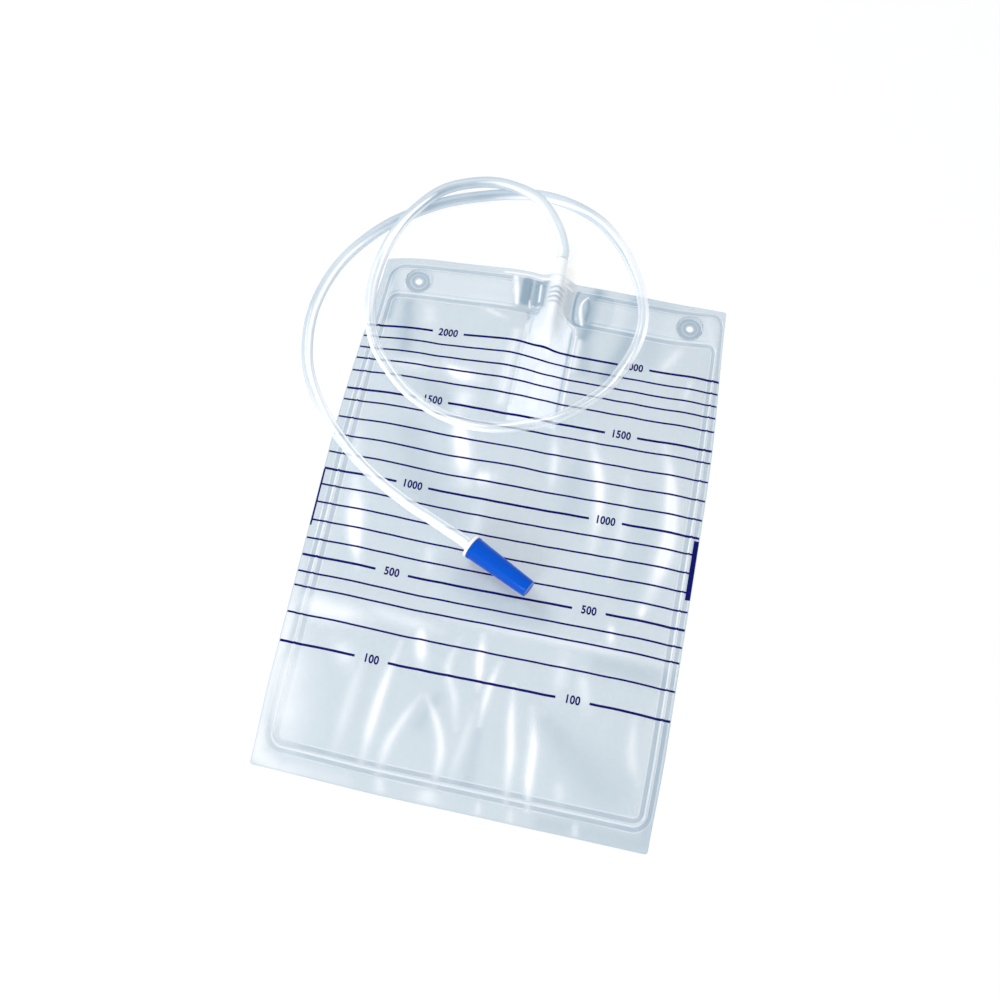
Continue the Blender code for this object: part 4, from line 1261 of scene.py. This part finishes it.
class DRAINAGE_OT_cap(Operator):
    """Build the catheter connector and the cap over it"""

    bl_idname = "drainage.cap"
    bl_label = "Cap and connector"

    def execute(self, context):
        slope = (CAP_END_RADIUS - CAP_MOUTH_RADIUS) / CAP_LENGTH
        bore, tip = 1.3, CAP_LENGTH - CAP_WALL - 1.2
        back = -CLEARANCE - FLANGE_LENGTH
        profile = [(bore, back), (FLANGE_RADIUS, back), (FLANGE_RADIUS, -CLEARANCE)]
        for i in range(3):
            low, high = tip * i / 3, tip * (i + 1) / 3
            wide = CAP_MOUTH_RADIUS + slope * high - CAP_WALL - CLEARANCE
            profile += [(wide, -CLEARANCE if i == 0 else low), (wide - 0.5 * CAP_WALL, high - 0.3)]
        profile += [(wide - 0.5 * CAP_WALL - 0.3, tip), (bore, tip)]
        place = cap_frame()
        piece = lathe("stepped_nozzle", profile, place, white_plastic(), "bag", 0.15)
        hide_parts("catheter_connector")
        floor = CAP_LENGTH - CAP_WALL
        profile = [
            (CAP_MOUTH_RADIUS - CAP_WALL, 0.0),
            (CAP_MOUTH_RADIUS, 0.0),
            (CAP_MOUTH_RADIUS, 1.2),
            (CAP_MOUTH_RADIUS + slope * 1.2 - 0.2, 1.25),
            (CAP_END_RADIUS, CAP_LENGTH),
            (0.80 * CAP_END_RADIUS, CAP_LENGTH),
            (0.74 * CAP_END_RADIUS, CAP_LENGTH - 0.12),
            (0.0, CAP_LENGTH - 0.12),
            (0.0, floor - 0.1),
            (CAP_MOUTH_RADIUS + slope * floor - CAP_WALL, floor - 0.1),
        ]
        material = moulded_material(
            "blue cap",
            context.scene.bag_mouldings.cap,
            0.85,
            0.30,
            Specular_IOR_Level=0.3,
            Specular_Tint=(0.10, 0.45, 1.0, 1.0),
            Coat_Weight=0.28,
            Coat_Roughness=0.06,
        )
        piece = lathe("blue_cap", profile, place, material, "cap", 0.45)
        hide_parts("protective_cap")
        return {"FINISHED"}


class DRAINAGE_OT_tube(Operator):
    """Lay the drainage tube from the inlet to the capped end"""

    bl_idname = "drainage.tube"
    bl_label = "Tube"

    def execute(self, context):
        settings = context.scene.bag_tube
        path = tube_path()
        vertices, faces = hollow_tube(path, settings.diameter / 2, settings.bore / 2, TUBE_SIDES)
        piece = soft_piece("drain_tube", vertices, faces, tube_material())
        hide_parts("drainage_tube")
        length = float(np.linalg.norm(np.diff(path, axis=0), axis=1).sum())
        paint_tube(piece.data, path, length / MM)
        return {"FINISHED"}


class DRAINAGE_OT_stage(Operator):
    """Set the floor, the camera, the lamps and the world"""

    bl_idname = "drainage.stage"
    bl_label = "Stage"

    def execute(self, context):
        settings = context.scene.bag_stage
        scene = context.scene
        scene.view_settings.view_transform = "Standard"
        mesh = bpy.data.meshes.new("floor")
        signs = ((-1, -1), (1, -1), (1, 1), (-1, 1))
        mesh.from_pydata([(FLOOR_HALF * a, FLOOR_HALF * b, -FLOOR_DROP) for a, b in signs], [], [range(4)])
        floor = bpy.data.objects.new("floor", mesh)
        scene.collection.objects.link(floor)
        material, tree, shader = new_material("pale floor", Roughness=0.9, Specular_IOR_Level=0.0)
        shader.inputs["Base Color"].default_value = rgba(settings.floor)
        share = largest(*light_path(tree)) * FLOOR_GLOW
        white = signal(tree, "ShaderNodeEmission", 0, {"Color": WHITE, "Strength": 1.0})
        mix_shaders(share, Signal(shader.outputs[0]), white, tree.nodes["Material Output"])
        mesh.materials.append(material)

        world = bpy.data.worlds.new("studio")
        scene.world = world
        world.use_nodes = True
        tree = world.node_tree
        straight, glossy, through = light_path(tree)
        strengths = ((SKY_TINT, settings.sky), (SKY_TINT, REFLECTED_SKY), (WHITE, 1.0))
        tree.nodes.remove(tree.nodes["Background"])
        sky, dim, plain = (
            signal(tree, "ShaderNodeBackground", 0, {"Color": colour, "Strength": strength})
            for colour, strength in strengths
        )
        dimmed = mix_shaders(glossy, sky, dim)
        mix_shaders(straight, dimmed, plain, tree.nodes["World Output"])

        for name, power, place, size in LAMPS:
            light = bpy.data.lights.new(name, "AREA")
            light.shape = "RECTANGLE"
            light.size, light.size_y = size
            light.energy = getattr(settings, power)
            lamp = bpy.data.objects.new(name, light)
            lamp.location = place
            lamp.rotation_euler = (-Vector(place)).to_track_quat("-Z", "Y").to_euler()
            scene.collection.objects.link(lamp)

        camera = bpy.data.cameras.new("camera")
        camera.sensor_width = 36.0
        camera.lens = settings.lens
        camera.clip_start, camera.clip_end = 0.05, 20.0
        viewer = bpy.data.objects.new("camera", camera)
        right, back = Vector(CAMERA_RIGHT), Vector(CAMERA_BACK)
        turn = Matrix((right, back.cross(right), back)).transposed().to_4x4()
        viewer.matrix_world = Matrix.Translation(CAMERA_PLACE) @ turn
        scene.collection.objects.link(viewer)
        scene.camera = viewer
        return {"FINISHED"}


class DRAINAGE_PT_panel(Panel):
    """List the drainage bag's builders"""

    bl_label = "Drainage Bag"
    bl_space_type = "VIEW_3D"
    bl_region_type = "UI"
    bl_category = "Drainage Bag"

    def draw(self, context):
        for operator in OPERATORS:
            self.layout.operator(operator.bl_idname)


OPERATORS = (
    DRAINAGE_OT_stage,
    DRAINAGE_OT_films,
    DRAINAGE_OT_print,
    DRAINAGE_OT_valve,
    DRAINAGE_OT_inlet,
    DRAINAGE_OT_cap,
    DRAINAGE_OT_tube,
)
SETTINGS = {
    "bag_film": FilmSettings,
    "bag_print": PrintSettings,
    "bag_tube": TubeSettings,
    "bag_mouldings": MouldingSettings,
    "bag_stage": StageSettings,
}


def register():
    for name, group in SETTINGS.items():
        bpy.utils.register_class(group)
        setattr(bpy.types.Scene, name, PointerProperty(type=group))
    for item in (*OPERATORS, DRAINAGE_PT_panel):
        bpy.utils.register_class(item)


def unregister():
    for item in (DRAINAGE_PT_panel, *reversed(OPERATORS)):
        bpy.utils.unregister_class(item)
    for name, group in reversed(SETTINGS.items()):
        delattr(bpy.types.Scene, name)
        bpy.utils.unregister_class(group)


def main():
    register()
    bpy.ops.drainage.stage()
    bpy.ops.drainage.films()
    bpy.ops.drainage.print()
    bpy.ops.drainage.valve()
    bpy.ops.drainage.inlet()
    bpy.ops.drainage.cap()
    bpy.ops.drainage.tube()


if __name__ == "__main__":
    main()
